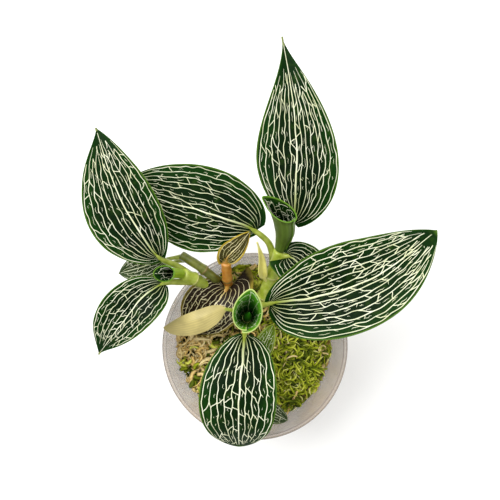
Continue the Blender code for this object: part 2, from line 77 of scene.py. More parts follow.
# Stalk: place, radius and depth under the leaf's middle line. The places are shares of the whole path
# at the foot, of the bare stalk after that, and of the blade where the stalk runs on beneath it
STALK_FOOT = ((0.0, 0.0, 0), (0.004, 1.7, 0), (0.02, 2.1, 0))
STALK_BARE = ((0.3, 1.75, 0), (0.6, 1.5, 0), (0.85, 1.4, 0.1), (1.0, 1.25, 0.25))
STALK_BENEATH = ((0.04, 1.0, 0.6), (0.1, 0.8, 0.6), (0.2, 0.55, 0.46), (0.32, 0.32, 0.3),
                 (0.4, 0.0, 0.2))
SMALL_STALK = 0.62    # how much thinner a small leaf's stalk is

# path; then for the left and the right side: half width, fullness of base and of tip, fold and curl;
# then the height of the ripples; then depth of the basal lobe and number of long veins, for each side
LEAVES = {
    "leaf_top": ([(9.9, 40.3, 83.6), (15.4, 49.0, 85.2), (17.4, 57.5, 91.0), (17.9, 70.0, 99.5),
                  (17.8, 87.5, 107), (15.5, 109.7, 114), (11.1, 133.3, 118)],
                 (18.4, 18.6), (1.15, 0.65), (1.75, 1.4), (9, 7), (14, 10), 0.4, (1.0, 2.0), (6, 7)),
    "leaf_upper_left": ([(-28.6, 32.2, 82.8), (-36.0, 37.8, 88.0), (-42.7, 41.0, 96), (-51.1, 52.9, 105),
                         (-61.7, 75.5, 111), (-68.3, 96.0, 112)],
                        (17.4, 14.8), (0.9, 0.7), (1.3, 0.95), (8, 8), (12, 12), 0.4,
                         (2.0, 2.0), (6, 5)),
    "leaf_behind": ([(9.2, 38.6, 83.0), (6.6, 48.5, 86.5), (0.4, 53.9, 89.5), (-15.4, 60.0, 94),
                     (-39.1, 66.6, 96), (-61.6, 75.7, 90)],
                    (19.4, 20.4), (0.8, 0.45), (1.1, 0.7), (-13, 8), (-8, 10), 0.5,
                     (1.5, 2.0), (7, 7)),
    "leaf_lower_left": ([(-27.2, 31.0, 80.8), (-35.0, 30.6, 88.0), (-41.2, 30.0, 94), (-47.3, 26.0, 97.5),
                         (-59.9, 11.0, 98), (-71.8, -2.5, 88)],
                        (11.4, 13.2), (0.55, 0.9), (1.3, 1.1), (10, 10), (12, 12), 0.3,
                         (1.0, 1.0), (4, 5)),
    "leaf_right": ([(-3.6, 13.2, 84.0), (1.6, 19.2, 88.5), (6.5, 20.8, 94), (23.6, 23.5, 104),
                    (48.4, 31.6, 110), (76.5, 52.0, 112)],
                   (20.0, 19.8), (0.8, 0.5), (0.95, 0.75), (10, 6), (14, 10), 0.6, (3.0, 2.0), (7, 7)),
    "leaf_bottom": ([(-3.3, 12.2, 81.0), (-4.2, 9.6, 86.5), (-4.8, 6.6, 91.5), (-5.5, -3.3, 98.5),
                     (-7.1, -18.3, 102), (-7.4, -34.0, 96), (-7.4, -44.8, 85)],
                    (16.4, 17.4), (0.5, 0.6), (0.5, 0.6), (4, 4), (-12, -12), 0.3, (1.0, 1.0), (5, 5)),
    "leaf_brown": ([(-13.4, 29.4, 69.0), (-14.4, 26.6, 72.6), (-21.5, 16.8, 75.0), (-30.2, 5.4, 73.0)],
                   (14.0, 15.5), (0.4, 0.45), (0.8, 0.6), (12, 17), (14, 8), 0.4, (20.0, 4.0), (6, 6)),
    "leaf_gold_edge": ([(-13.7, 38.2, 82.2), (-13.2, 41.4, 88.2), (-8.0, 46.4, 95), (-2.4, 52.8, 100)],
                       (5.6, 5.2), (0.45, 0.45), (0.9, 0.9), (14, 10), (16, 16), 0.2,
                        (7.0, 2.0), (3, 4)),
    "leaf_dry_folded": ([(-3.4, 12.6, 79.6), (-8.2, 16.3, 83.3), (-13.5, 17.9, 87), (-26.0, 13.6, 89),
                         (-43.3, 9.0, 81)],
                        (7.0, 4.2), (0.5, 0.6), (0.5, 0.9), (-10, -10), (-16, -16), 0.3,
                         (0.0, 0.0), (0, 0)),
    "leaf_heart": ([(9.6, 39.8, 83.6), (14.8, 42.4, 90.4), (23.1, 36.6, 91.0), (33.2, 27.4, 85)],
                   (10.5, 11.5), (0.45, 0.35), (0.8, 0.8), (8, 8), (12, 14), 0.3, (3.5, 8.5), (5, 5)),
    "leaf_netted": ([(-3.4, -20.3, 66.5), (-1.8, -14.0, 72.5), (3.2, -1.5, 76.5), (8.7, 10.4, 79.5)],
                    (5.5, 5.5), (0.7, 0.7), (0.7, 0.7), (12, 12), (16, 16), 0.3, (1.0, 1.0), (3, 3)),
    "leaf_rim": ([(-3.4, -20.5, 68.0), (1.5, -26.2, 72.5), (8.2, -31.6, 75.0), (15.6, -35.8, 74.0)],
                 (4.8, 5.0), (0.6, 0.6), (0.7, 0.7), (8, 8), (14, 14), 0.3, (1.0, 1.0), (3, 3)),
    "leaf_grey": ([(-34.2, 42.6, 84.0), (-42.2, 41.0, 87.0), (-51.8, 38.0, 85.5), (-64.9, 34.7, 80.5)],
                  (6.2, 6.2), (0.7, 0.7), (0.8, 0.8), (10, 8), (14, 12), 0.3, (1.0, 1.0), (3, 3)),
    "leaf_hidden": ([(-31.5, 41.2, 82.8), (-40.5, 39.6, 79.0), (-49.5, 32.0, 77.0), (-58.5, 20.5, 75.5)],
                    (3.4, 3.4), (0.8, 0.8), (0.7, 0.7), (10, 10), (14, 14), 0.2, (0.0, 0.0), (2, 2)),
    "bract_pale": ([(6.6, 30.4, 76.6), (4.2, 33.0, 82.5), (2.9, 41.6, 91.0), (0.8, 48.4, 97)],
                   (2.6, 2.6), (0.35, 0.35), (1.25, 1.25), (25, 25), (30, 30), 0.0,
                    (0.0, 0.0), (0, 0)),
}

# path, radii at foot, middle and mouth, how far the mouth is stretched, height of the rim where the
# edges lap, to that of its point, and the direction in which its point stands
ROLLS = {
    "rolled_centre": ([(-3.85, 14.0, 88.6), (-3.8, 15.2, 98), (-3.5, 17.2, 122)],
                      (2.3, 4.8, 5.6), 1.4, 0.62, (0.16, 0.98, 0)),
    "rolled_top": ([(11.75, 46.0, 88.4), (12.6, 49.3, 92.3), (13.1, 53.3, 100), (10.6, 61.9, 114.2)],
                   (2.4, 3.3, 3.4), 1.94, 0.84, (-0.742, 0.67, 0)),
    "rolled_left": ([(-34.3, 34.3, 89.9), (-36.4, 34.4, 94), (-40.6, 33.8, 105)],
                    (1.9, 2.3, 2.9), 1.1, 0.7, (-1, 0, 0)),
}
NEWEST_LEAF = [(-3.8, 14.0, 89), (-3.4, 15.2, 97), (-2.6, 17.6, 110)]  # stands inside the centre roll
NEWEST_RADII = ((0, 0.03, 0.4, 1.0), (0.0, 2.1, 1.9, 0.0))             # places and radii along it
HALF_TURN = math.radians(190)      # past half a turn, so that the edges lap
ROLL_KNOTS = (0.0, 0.45, 1.0)      # places of a roll's foot, middle and mouth
RIM_FALL = 1.4                     # how fast the rim drops towards the edges that lap
LAP_INSIDE, LAP_OUTSIDE = 0.13, 0.06    # share by which one edge lies further in, the other further out
LIP_FLARE, LIP_FROM = 0.8, 0.88         # how far the lip opens, and the place from which it does
BACK_STRETCH = 0.75                     # stretch of the side with the edges, to that of the other side
POINT_STRETCH, POINT_ANGLE = 0.5, 0.45  # more stretch round the mouth's point, and its reach in radians

# path, radius, places of the joints along it
SHOOTS = {
    "shoot_centre": ([(-2.6, 9.0, 46), (-2.9, 11.0, 64), (-3.5, 13.0, 78), (-3.8, 13.9, 88)],
                     2.8, (0.55, 0.8)),
    "shoot_top": ([(2.6, 20.0, 46), (3.4, 21.7, 64), (6.5, 30.0, 76), (11.6, 45.4, 88)],
                  2.9, (0.45, 0.72)),
    "shoot_left": ([(-19.8, 22.0, 46), (-20.2, 23.6, 62), (-22.6, 27.6, 71), (-28.2, 31.8, 81.5),
                    (-33.8, 34.2, 89)], 2.8, (0.62, 0.84)),
    "shoot_olive": ([(-17.2, 28.4, 48), (-18.4, 31.0, 66), (-20.8, 33.6, 79.6), (-27.0, 38.4, 84.2),
                     (-35.2, 43.4, 85.0)], 2.2, (0.74,)),
    "shoot_stub": ([(-12.0, 23.6, 46), (-13.2, 27.4, 62), (-13.5, 32.0, 74), (-13.7, 40.0, 85)],
                   2.4, (0.7,)),
    "shoot_front": ([(-3.4, -19.8, 46), (-3.4, -20.0, 58), (-3.4, -20.4, 64), (-3.4, -20.8, 70)],
                    1.7, (0.7,)),
}
JOINT_SWELL, JOINT_SPREAD = 0.14, 0.025  # a shoot's thickening at a joint, and how far along it reaches
SCAR_HALF = 0.011                        # half the length of a scar, as a share of the shoot
ROUND_FOOT = (0.0, 0.6, 0.9)
ROUND_TOP = (0.86, 0.55, 0.0)


class OrchidCup(bpy.types.PropertyGroup):
    """Sizes and tint of the clear cup."""
    rim_radius: FloatProperty(name="Rim radius", description="Outside of the rolled lip",
                              default=POT_HIGH.x, unit="LENGTH")
    height: FloatProperty(name="Height", description="From the table to the rim",
                          default=POT_HIGH.z, unit="LENGTH")
    wall: FloatProperty(name="Wall", description="Thickness of the plastic",
                        default=1.0 * MM, unit="LENGTH")
    tint: FloatVectorProperty(name="Tint", description="Colour of the hazy plastic", subtype="COLOR",
                              default=(0.35, 0.26, 0.17), min=0, max=1)
    haze: FloatProperty(name="Haze", description="How much each face of the wall hides",
                        default=0.48, subtype="FACTOR", min=0, max=1)


class OrchidMoss(bpy.types.PropertyGroup):
    """The sphagnum that fills the cup."""
    dry_strands: IntProperty(name="Dry strands", description="Curled dry strands on the bed",
                             default=1900, min=0)
    wall_strands: IntProperty(name="Wall strands", description="Strands pressed against the cup",
                              default=900, min=0)
    heads: IntProperty(name="Fresh heads", description="Green heads on the right of the bed",
                       default=180, min=0)
    branches: IntProperty(name="Branches", description="Branches of each head", default=9, min=1)


class OrchidShoots(bpy.types.PropertyGroup):
    """Colours of the shoots."""
    green: FloatVectorProperty(name="Green", description="Fleshy young shoot", subtype="COLOR",
                               default=(0.31, 0.39, 0.03), min=0, max=1)
    olive: FloatVectorProperty(name="Olive", description="Older shoot", subtype="COLOR",
                               default=(0.075, 0.088, 0.009), min=0, max=1)
    orange: FloatVectorProperty(name="Orange", description="Spent shoot", subtype="COLOR",
                                default=(0.42, 0.155, 0.014), min=0, max=1)


class OrchidLeaves(bpy.types.PropertyGroup):
    """Colours of the blades and their net."""
    dark: FloatVectorProperty(name="Dark", description="Blade between the veins", subtype="COLOR",
                              default=(0.0013, 0.0080, 0.0009), min=0, max=1)
    green: FloatVectorProperty(name="Green", description="Blade near the margin and the tip",
                               subtype="COLOR", default=(0.0032, 0.025, 0.0014), min=0, max=1)
    margin: FloatVectorProperty(name="Margin", description="Thin edge of the blade", subtype="COLOR",
                                default=(0.055, 0.12, 0.011), min=0, max=1)
    vein: FloatVectorProperty(name="Vein", description="Raised net", subtype="COLOR",
                              default=(0.80, 0.82, 0.62), min=0, max=1)
    vein_width: FloatProperty(name="Vein width", description="Width of a main vein",
                              default=VEIN_WIDTH * MM, unit="LENGTH")
    under: FloatVectorProperty(name="Underside", description="Lower face of a blade", subtype="COLOR",
                               default=(0.17, 0.20, 0.06), min=0, max=1)


class OrchidStudio(bpy.types.PropertyGroup):
    """Camera, lights and floor."""
    camera_place: FloatVectorProperty(name="Camera", description="Where the camera stands",
                                      subtype="XYZ", default=(-0.0024, 0.028, 0.337))
    camera_tilt: FloatProperty(name="Tilt", description="Lean from straight down", subtype="ANGLE",
                               default=math.radians(4))
    lens: FloatProperty(name="Lens", description="Focal length in mm on a 36 mm sensor", default=38.59)
    floor: FloatVectorProperty(name="Floor", description="Colour of the floor", subtype="COLOR",
                               default=(0.86, 0.86, 0.85), min=0, max=1)


class Finish:
    """A node material in the making: each method adds one node and gives its output."""

    def __init__(self, name, roughness=0.5, specular=0.5):
        self.material = bpy.data.materials.new(name)
        self.material.use_nodes = True
        self.nodes = self.material.node_tree.nodes
        self.links = self.material.node_tree.links
        self.shader = self.nodes["Principled BSDF"]
        self.shader.inputs["Roughness"].default_value = roughness
        self.shader.inputs["Specular IOR Level"].default_value = specular

    def add(self, kind, inputs=(), **settings):
        """A node of a kind; each input is another node's output or a plain value."""
        node = self.nodes.new(kind)
        for key, value in settings.items():
            setattr(node, key, value)
        for socket, value in dict(inputs).items():
            if isinstance(value, bpy.types.NodeSocket):
                self.links.new(value, node.inputs[socket])
            else:
                node.inputs[socket].default_value = value
        return node

    def position(self):
        return self.add("ShaderNodeTexCoord").outputs["Object"]

    def across_and_place(self):
        """Across, from 0 at the leaf's right edge to 1, and place, from its base to its tip."""
        leaf_map = self.add("ShaderNodeUVMap", uv_map=LEAF_UV).outputs[0]
        parts = self.add("ShaderNodeSeparateXYZ", {0: leaf_map})
        return parts.outputs[0], parts.outputs[1]

    def spread(self, across):
        """From 0 on the midrib to 1 at either edge."""
        return self.sum("ABSOLUTE", self.sum("MULTIPLY_ADD", across, 2.0, -1.0))

    def sum(self, operation, *values):
        return self.add("ShaderNodeMath", dict(enumerate(values)), operation=operation).outputs[0]

    def noise(self, scale, detail=3.0, stretch=None):
        vector = self.position()
        if stretch:
            vector = self.add("ShaderNodeMapping", {"Vector": vector, "Scale": stretch}).outputs[0]
        made = self.add("ShaderNodeTexNoise", {"Vector": vector, "Scale": scale, "Detail": detail})
        return made.outputs["Fac"]

    def ramp(self, value, stops):
        """Colours, or greys where a stop is one number, between stops of (place, colour)."""
        node = self.add("ShaderNodeValToRGB", {"Fac": value})
        while len(node.color_ramp.elements) < len(stops):
            node.color_ramp.elements.new(0.5)
        for element, (place, colour) in zip(node.color_ramp.elements, stops):
            shade = colour if hasattr(colour, "__len__") else (colour,) * 3
            element.position = place
            element.color = (*shade, 1.0)
        return node.outputs[0]

    def mix(self, factor, one, other, blend="MIX"):
        """One colour over another; a Mix node takes them at sockets 0, 6 and 7 and gives socket 2."""
        node = self.add("ShaderNodeMix", data_type="RGBA", blend_type=blend)
        for index, value in ((0, factor), (6, one), (7, other)):
            if isinstance(value, bpy.types.NodeSocket):
                self.links.new(value, node.inputs[index])
            else:
                node.inputs[index].default_value = value if index == 0 else (*value, 1.0)
        return node.outputs[2]

    def paint(self, colour):
        self.links.new(colour, self.shader.inputs["Base Color"])

    def bump(self, height, strength, distance):
        settings = {"Height": height, "Strength": strength, "Distance": distance}
        self.links.new(self.add("ShaderNodeBump", settings).outputs[0], self.shader.inputs["Normal"])


def scaled(colour, factor):
    """A lighter or darker shade of a colour."""
    return tuple(min(1.0, value * factor) for value in colour)


def unit(vectors):
    """Vectors of length 1."""
    return vectors / np.maximum(np.linalg.norm(vectors, axis=-1, keepdims=True), 1e-12)


def distances(points):
    """How far along a line each of its points lies."""
    return np.r_[0.0, np.cumsum(np.linalg.norm(np.diff(points, axis=0), axis=1))]


class Course:
    """A smooth curve through the given points, read at places from 0 to 1."""

    def __init__(self, points):
        given = np.array(points, float)
        knots = distances(given)
        slopes = np.gradient(given, knots, axis=0)
        fine = np.linspace(0.0, knots[-1], 400)
        spans = np.clip(np.searchsorted(knots, fine, side="right") - 1, 0, len(given) - 2)
        width = (knots[spans + 1] - knots[spans])[:, None]
        x = (fine - knots[spans])[:, None] / width
        self.curve = ((2 * x**3 - 3 * x**2 + 1) * given[spans]
                      + (x**3 - 2 * x**2 + x) * width * slopes[spans]
                      + (3 * x**2 - 2 * x**3) * given[spans + 1]
                      + (x**3 - x**2) * width * slopes[spans + 1])
        self.along = distances(self.curve)

    def at(self, places):
        """Points of the curve."""
        wanted = np.atleast_1d(places) * self.along[-1]
        return np.stack([np.interp(wanted, self.along, values) for values in self.curve.T], axis=1)

    def frame(self, places, facing=UP, step=0.01):
        """Middle points, tangents, left sides and normals."""
        ahead = self.at(np.minimum(places + step, 1.0))
        behind = self.at(np.maximum(places - step, 0.0))
        tangent = unit(ahead - behind)
        side = unit(np.cross(facing, tangent))
        return self.at(places), tangent, side, np.cross(tangent, side)


class Face:
    """A leaf's upper face, by across, from -1 (right) to 1 (left), and place, from base to tip."""

    step = 0.005

    def face(self, across, place, lift=BLADE / 2):
        """Points of the upper face, in mm, with their normals."""
        step = self.step
        sideways = (self.middle(np.minimum(across + step, 1.0), place)
                    - self.middle(np.maximum(across - step, -1.0), place))
        onwards = (self.middle(across, np.minimum(place + step, 1.0))
                   - self.middle(across, np.maximum(place - step, 0.0)))
        normal = unit(np.cross(onwards, sideways))
        return self.middle(across, place) + normal * lift, normal

    def rows(self, share):
        """Places of a grid's rows, from shares of its length."""
        return share

    def laid(self, x, y):
        """Points and places for a grid whose x and y run from -1 to 1."""
        place = self.rows((y + 1) / 2)
        return self.face(-x, place)[0], place


class Blade(Face):
    """An open leaf on its stalk."""

    def __init__(self, name):
        (self.path, self.half, self.base, self.tip, self.fold, self.curl, self.wave, self.lobe,
         self.veins) = LEAVES[name]
        lengths = distances(np.array(self.path, float))
        # the blade starts at the third point of a long path and at the second of a short one
        self.foot = lengths[2 if len(lengths) > 4 else 1] / lengths[-1]
        self.course = Course(self.path)
        self.lobe_bend = EAR_BEND if max(self.lobe) > DEEP_LOBE else LOBE_BEND

    def rows(self, share):
        """Rows that lie closer together at the base and at the tip."""
        return (share + (1 - np.cos(math.pi * share)) / 2) / 2

    def width(self, place, hand):
        """Half width of the left side (hand 0) or the right side (hand 1)."""
        base, tip = self.base[hand], self.tip[hand]
        peak = base / (base + tip)
        most = peak**base * (1 - peak) ** tip
        inside = np.clip(place, 0.0, 1.0)
        width = self.half[hand] * inside**base * (1 - inside) ** tip / most
        return np.maximum(width, STALK_HALF * (1 - inside) + TIP_HALF * inside)

    def middle(self, across, place):
        """Points halfway through the blade's thickness."""
        middle, tangent, side, normal = self.course.frame(self.foot + (1 - self.foot) * place)
        spread = np.abs(across)
        left = across > 0
        out_total = np.zeros_like(across)
        rise_total = np.zeros_like(across)
        back_total = np.zeros_like(across)
        lobe_share = np.exp(-place / LOBE_RUN) * (place > LOBE_FROM)
        for hand, chosen in ((0, left), (1, ~left)):
            turn = math.radians(self.curl[hand])
            fold = math.radians(self.fold[hand])
            width = self.width(place, hand)
            out = width * np.sin(turn * spread) / turn
            lift = width * (1 - np.cos(turn * spread)) / turn
            ripple = self.wave * spread**2 * np.sin(WAVES * place + 2 * hand) * np.sin(math.pi * place)
            out_total += chosen * (out * math.cos(fold) - lift * math.sin(fold))
            rise_total += chosen * (out * math.sin(fold) + lift * math.cos(fold) + ripple)
            back_total += chosen * self.lobe[hand] * spread**self.lobe_bend * lobe_share
        sign = np.where(left, 1.0, -1.0)[:, None]
        return (middle + side * sign * out_total[:, None] + normal * rise_total[:, None]
                - tangent * back_total[:, None])


class Roll(Face):
    """The wall of a young leaf still rolled round its axis, one edge lapping over the other."""

    step = 0.01

    def __init__(self, name, veins):
        path, self.radii, self.mouth, self.low_rim, facing = ROLLS[name]
        self.facing = unit(np.array(facing, float))
        self.course = Course(path)
        self.half = (self.radii[2] * HALF_TURN,) * 2
        self.veins = veins

    def radius(self, level):
        """Radius of the roll at levels from its foot to its mouth."""
        return np.interp(level, ROLL_KNOTS, self.radii)

    def width(self, place, hand):
        """Half width of the leaf, were it unrolled; it is the same for both hands."""
        return self.radius(place) * HALF_TURN

    def middle(self, across, place):
        """Points halfway through the wall's thickness."""
        angle = across * HALF_TURN
        reach = self.low_rim + (1 - self.low_rim) * ((1 + np.cos(angle)) / 2) ** RIM_FALL
        level = place * reach
        centre, tangent, _, _ = self.course.frame(level, step=0.02)
        front = unit(self.facing - tangent * (tangent @ self.facing)[:, None])
        side = np.cross(tangent, front)
        lap = 1 - LAP_INSIDE * np.clip(across, 0, 1) ** 3 + LAP_OUTSIDE * np.clip(-across, 0, 1) ** 3
        flare = LIP_FLARE * np.clip(place - LIP_FROM, 0, 1) / (1 - LIP_FROM)
        radius = self.radius(level) * lap + flare
        forward = np.where(np.cos(angle) > 0, 1.0, BACK_STRETCH)
        forward = forward + POINT_STRETCH * np.exp(-(angle / POINT_ANGLE) ** 2)
        stretch = 1 + (self.mouth - 1) * level * forward
        return (centre + front * (radius * stretch * np.cos(angle))[:, None]
                + side * (radius * np.sin(angle))[:, None])


def vertex_points(mesh):
    """The vertices as rows of x, y and z."""
    flat = np.zeros(len(mesh.vertices) * 3)
    mesh.vertices.foreach_get("co", flat)
    return flat.reshape(-1, 3)


def corner_vertices(mesh):
    """The vertex that each corner of each face uses."""
    corners = np.zeros(len(mesh.loops), int)
    mesh.loops.foreach_get("vertex_index", corners)
    return corners


def laid_grid(name, columns, rows, shape):
    """A grid primitive whose vertices shape(x, y) lays, x and y from -1 to 1, with its own UV map."""
    bpy.ops.object.select_all(action="DESELECT")
    bpy.ops.mesh.primitive_grid_add(x_subdivisions=columns, y_subdivisions=rows, size=2.0)
    piece = bpy.context.object
    piece.name = name
    piece.data.name = name
    mesh = piece.data
    x, y, _ = vertex_points(mesh).T
    points, place = shape(x, y)
    mesh.vertices.foreach_set("co", (points * MM).ravel())
    corners = corner_vertices(mesh)
    mesh.uv_layers[0].name = LEAF_UV
    uv = np.stack([(1 - x[corners]) / 2, place[corners]], axis=1)
    mesh.uv_layers[0].data.foreach_set("uv", uv.ravel())
    mesh.update()
    return piece


def two_faced(name, columns, rows, face, upper, lower):
    """A blade or a roll: its upper face laid as a grid, then thickened, with a finish on either side."""
    piece = laid_grid(name, columns, rows, face.laid)
    piece.data.materials.append(upper)
    piece.data.materials.append(lower)
    modifier = piece.modifiers.new("Thickness", "SOLIDIFY")
    modifier.thickness = BLADE * MM
    modifier.offset = -1.0
    modifier.material_offset = 1
    bpy.ops.object.modifier_apply(modifier=modifier.name)
    bpy.ops.object.shade_smooth_by_angle(angle=math.radians(50))
    return piece


def welded(piece):
    """Merge a rolled-up grid's seam and poles."""
    bpy.ops.object.select_all(action="DESELECT")
    piece.select_set(True)
    bpy.context.view_layer.objects.active = piece
    bpy.ops.object.mode_set(mode="EDIT")
    bpy.ops.mesh.select_all(action="SELECT")
    bpy.ops.mesh.remove_doubles(threshold=0.000004)
    bpy.ops.mesh.normals_make_consistent(inside=False)
    bpy.ops.object.mode_set(mode="OBJECT")
    return piece


TUBE_FACING = np.array([0.3, -0.9, 0.2])  # a direction that no shoot or stalk runs along


def laid_tube(name, path, places, radii, sides, finish):
    """A round closed bar along a path: a grid rolled up, its ends drawn to a point."""
    rows = len(places) - 1
    middle, _, side, normal = Course(path).frame(places, TUBE_FACING)

    def shape(x, y):
        row = np.rint((y + 1) / 2 * rows).astype(int)
        angle = x * math.pi
        ring = side[row] * np.cos(angle)[:, None] + normal[row] * np.sin(angle)[:, None]
        return middle[row] + ring * radii[row][:, None], places[row]

    piece = laid_grid(name, sides, rows, shape)
    piece.data.materials.append(finish)
    welded(piece)
    bpy.ops.object.shade_smooth()
    return piece


def mesh_piece(name, points, faces, finish, values=None, uv=None):
    """An object from arrays of points and equal-sided faces, with a value per point."""
    mesh = bpy.data.meshes.new(name)
    mesh.from_pydata((points * MM).tolist(), [], faces.tolist())
    piece = bpy.data.objects.new(name, mesh)
    bpy.context.scene.collection.objects.link(piece)
    mesh.materials.append(finish)
    if values is not None:
        mesh.attributes.new(TONE, "FLOAT", "POINT").data.foreach_set("value", values.astype(np.float32))
    if uv is not None:
        mesh.uv_layers.new(name=LEAF_UV).data.foreach_set("uv", uv[corner_vertices(mesh)].ravel())
    mesh.polygons.foreach_set("use_smooth", np.ones(len(mesh.polygons), bool))
    return piece


def joined(pieces, name):
    """One object, with a name, from several."""
    bpy.ops.object.select_all(action="DESELECT")
    for piece in pieces:
        piece.select_set(True)
    bpy.context.view_layer.objects.active = pieces[0]
    if len(pieces) > 1:
        bpy.ops.object.join()
    pieces[0].name = name
    return pieces[0]


def finished(piece, node):
    """A finished piece stands for one CAD node and rides on the body."""
    piece.name = piece.data.name = node + "_grown"
    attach(piece, "root")
    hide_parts(node)


# Veins: places run along the leaf from 0 to 1, half widths are in mm

RIB_HALVES = ((0, 0.12, 0.45, 0.8, 1), (0.85, 0.62, 0.34, 0.22, 0.1))
LONG_HALVES = ((0, 0.1, 0.6, 1), (0.1, 0.15, 0.17, 0.09))
NET_END = 0.965                               # the net stops this near to the edge and the tip
EDGE_ROOM = 0.42                              # room outside the last vein, as a share of that between two
LAST_PLACES = np.linspace(0.35, 0.97, 60)     # places where a long vein may end
ODD_ROOM, EVEN_ROOM = 0.55, 1.05              # odd and even long veins end where the room is less
FULL_ROOM = 1.7                               # they have their full width where the room is more
BROKEN_ROOM = 1.5                             # broken veins stop where the room is less
LINK_PARTS = np.array([0.0, 0.35, 0.7, 1.0])  # a link's points, as shares of the way between two veins
BROKEN_TAPER = np.array([0.5, 1, 1, 1, 0.4])
SHORTEST_VEIN = 0.2
RIDGE_STEP = 1.15                             # longest distance between two sections of a ridge
RIDGE_SIDE, RIDGE_ROOT = 0.02, 0.12           # height of its sides, and depth of its root
RIDGE_CREST, RIDGE_RISE = 0.05, 0.16          # height of its crest, and what its width adds to that


def wandering(rng, places, knots, amount):
    """A line that strays from its course in short straight stretches."""
    turns = np.linspace(places[0], places[-1], knots)
    return np.interp(places, turns, [rng.uniform(-amount, amount) for _ in turns])


def vein_room(blade, places, side):
    """Distance between two neighbouring long veins of one side."""
    return blade.width(places, side) / (blade.veins[side] + EDGE_ROOM)


def last_place(blade, side, least):
    """Where along the leaf the room between its veins falls below the least that is given."""
    roomy = vein_room(blade, LAST_PLACES, side) > least
    return float(LAST_PLACES[np.flatnonzero(roomy)[-1]]) if roomy.any() else LAST_PLACES[0]


def between(inner, outer, places, part):
    """Across, at a part of the way from one vein to the next one out."""
    start = np.interp(places, *inner)
    return start + (np.interp(places, *outer) - start) * part


def long_vein(blade, rng, side, index, size):
    """Places, across and half widths of a vein that runs from the base towards the tip."""
    count = blade.veins[side]
    level = (1, -1)[side] * (index - 0.08) / (count + EDGE_ROOM)
    first = 0.012 + 0.05 * rng.random() * (index % 2)
    end = last_place(blade, side, ODD_ROOM if index % 2 else EVEN_ROOM)
    run = np.linspace(first, end * rng.uniform(0.94, 1.0), 56)
    stray = wandering(rng, run, 21, 0.22 / (count + 1))
    gather = 1 - 0.5 * np.exp(-run / 0.03)
    room = np.clip(vein_room(blade, run, side) / FULL_ROOM, 0.4, 1.0)
    uneven = 1 + wandering(rng, run, 23, 0.28)
    return run, level * gather + stray, size * room * uneven * np.interp(run, *LONG_HALVES)


def link_lines(rng, inner, outer, end, size, density):
    """Slanting links from one long vein to the next, and spurs that stop halfway."""
    lines = []
    place = rng.uniform(0.15, 0.4)
    while place < end:
        step = rng.uniform(0.03, 0.075) * (1 if rng.random() < 0.75 else -0.5)
        whole = rng.random() < 0.25 + 0.55 * place
        reach = 1.0 if whole else rng.uniform(0.3, 0.55)
        parts = LINK_PARTS * reach
        run = np.clip(place + step * parts, 0, 0.95)
        bend = np.array([0, rng.uniform(-0.15, 0.25), rng.uniform(-0.2, 0.2), 0])
        across = between(inner, outer, run, np.clip(parts + bend * reach, 0, 1))
        half = size * (0.16 if whole else 0.13) * np.linspace(1.0, 1.0 if whole else 0.4, 4)
        lines.append((across, run, half))
        place += rng.uniform(0.06, 0.2) / density
    return lines


def broken_lines(rng, inner, outer, end, size, density):
    """Short broken veins in the middle of the room between two long ones."""
    lines = []
    place = rng.uniform(0.12, 0.35)
    while place < end:
        run = np.linspace(place, place + rng.uniform(0.01, 0.055), 5)
        stray = wandering(rng, run, 5, 0.12)
        across = between(inner, outer, run, rng.uniform(0.4, 0.6) + stray)
        lines.append((across, run, size * rng.uniform(0.055, 0.1) * BROKEN_TAPER))
        place = run[-1] + rng.uniform(0.02, 0.14) / density
    return lines


def vein_lines(blade, rng, density, bold):
    """Lines of (across, place, half width): midrib, long veins, links, spurs and broken veins."""
    size = bold * min(1.0, 0.6 + max(blade.half) / 45)
    places = np.linspace(0.0, NET_END, 60)
    rib = wandering(rng, places, 14, 0.016)
    rib[:8] = 0.0
    lines = [(rib, places, size * np.interp(places, *RIB_HALVES))]
    for side, count in enumerate(blade.veins):
        courses = [(places, rib)]
        for index in range(1, count + 1):
            run, across, half = long_vein(blade, rng, side, index, size)
            lines.append((np.clip(across, -NET_END, NET_END), run, half))
            courses.append((run, across))
        link_end = last_place(blade, side, EVEN_ROOM)
        broken_end = last_place(blade, side, BROKEN_ROOM)
        for inner, outer in zip(courses, courses[1:]):
            lines += link_lines(rng, inner, outer, link_end, size, density)
            lines += broken_lines(rng, inner, outer, broken_end, size, density)
    return lines


def vein_net(name, blade, lines, finish, widen):
    """Raised ridges of diamond section along the lines, each a closed body sunk into the blade."""
    points, faces, uvs = [], [], []
    total = 0
    for across, place, half in lines:
        rough, _ = blade.face(np.asarray(across, float), np.asarray(place, float))
        lengths = distances(rough)
        if lengths[-1] < SHORTEST_VEIN:
            continue
        count = max(2, int(math.ceil(lengths[-1] / RIDGE_STEP)) + 1)
        even = np.linspace(0, lengths[-1], count)
        a, p, h = (np.interp(even, lengths, value) for value in (across, place, half))
        ridge, normal = blade.face(a, p)
        tangent = unit(np.gradient(ridge, axis=0))
        side = unit(np.cross(normal, tangent))
        h = (h * widen)[:, None]
        ring = np.stack([ridge - side * h + normal * RIDGE_SIDE,
                         ridge + normal * (RIDGE_CREST + RIDGE_RISE * h),
                         ridge + side * h + normal * RIDGE_SIDE,
                         ridge - normal * RIDGE_ROOT], axis=1)
        points.append(ring.reshape(-1, 3))
        uvs.append(np.repeat(np.stack([(1 + a) / 2, p], axis=1), 4, axis=0))
        base = total + 4 * np.arange(count - 1)[:, None]
        for k in range(4):
            n = (k + 1) % 4
            faces.append(np.hstack([base + k, base + 4 + k, base + 4 + n, base + n]))
        last = total + 4 * (count - 1)
        faces.append(np.array([[total, total + 1, total + 2, total + 3],
                               [last + 3, last + 2, last + 1, last]]))
        total += 4 * count
    return mesh_piece(name, np.vstack(points), np.vstack(faces), finish, uv=np.vstack(uvs))


# Finishes of the leaves

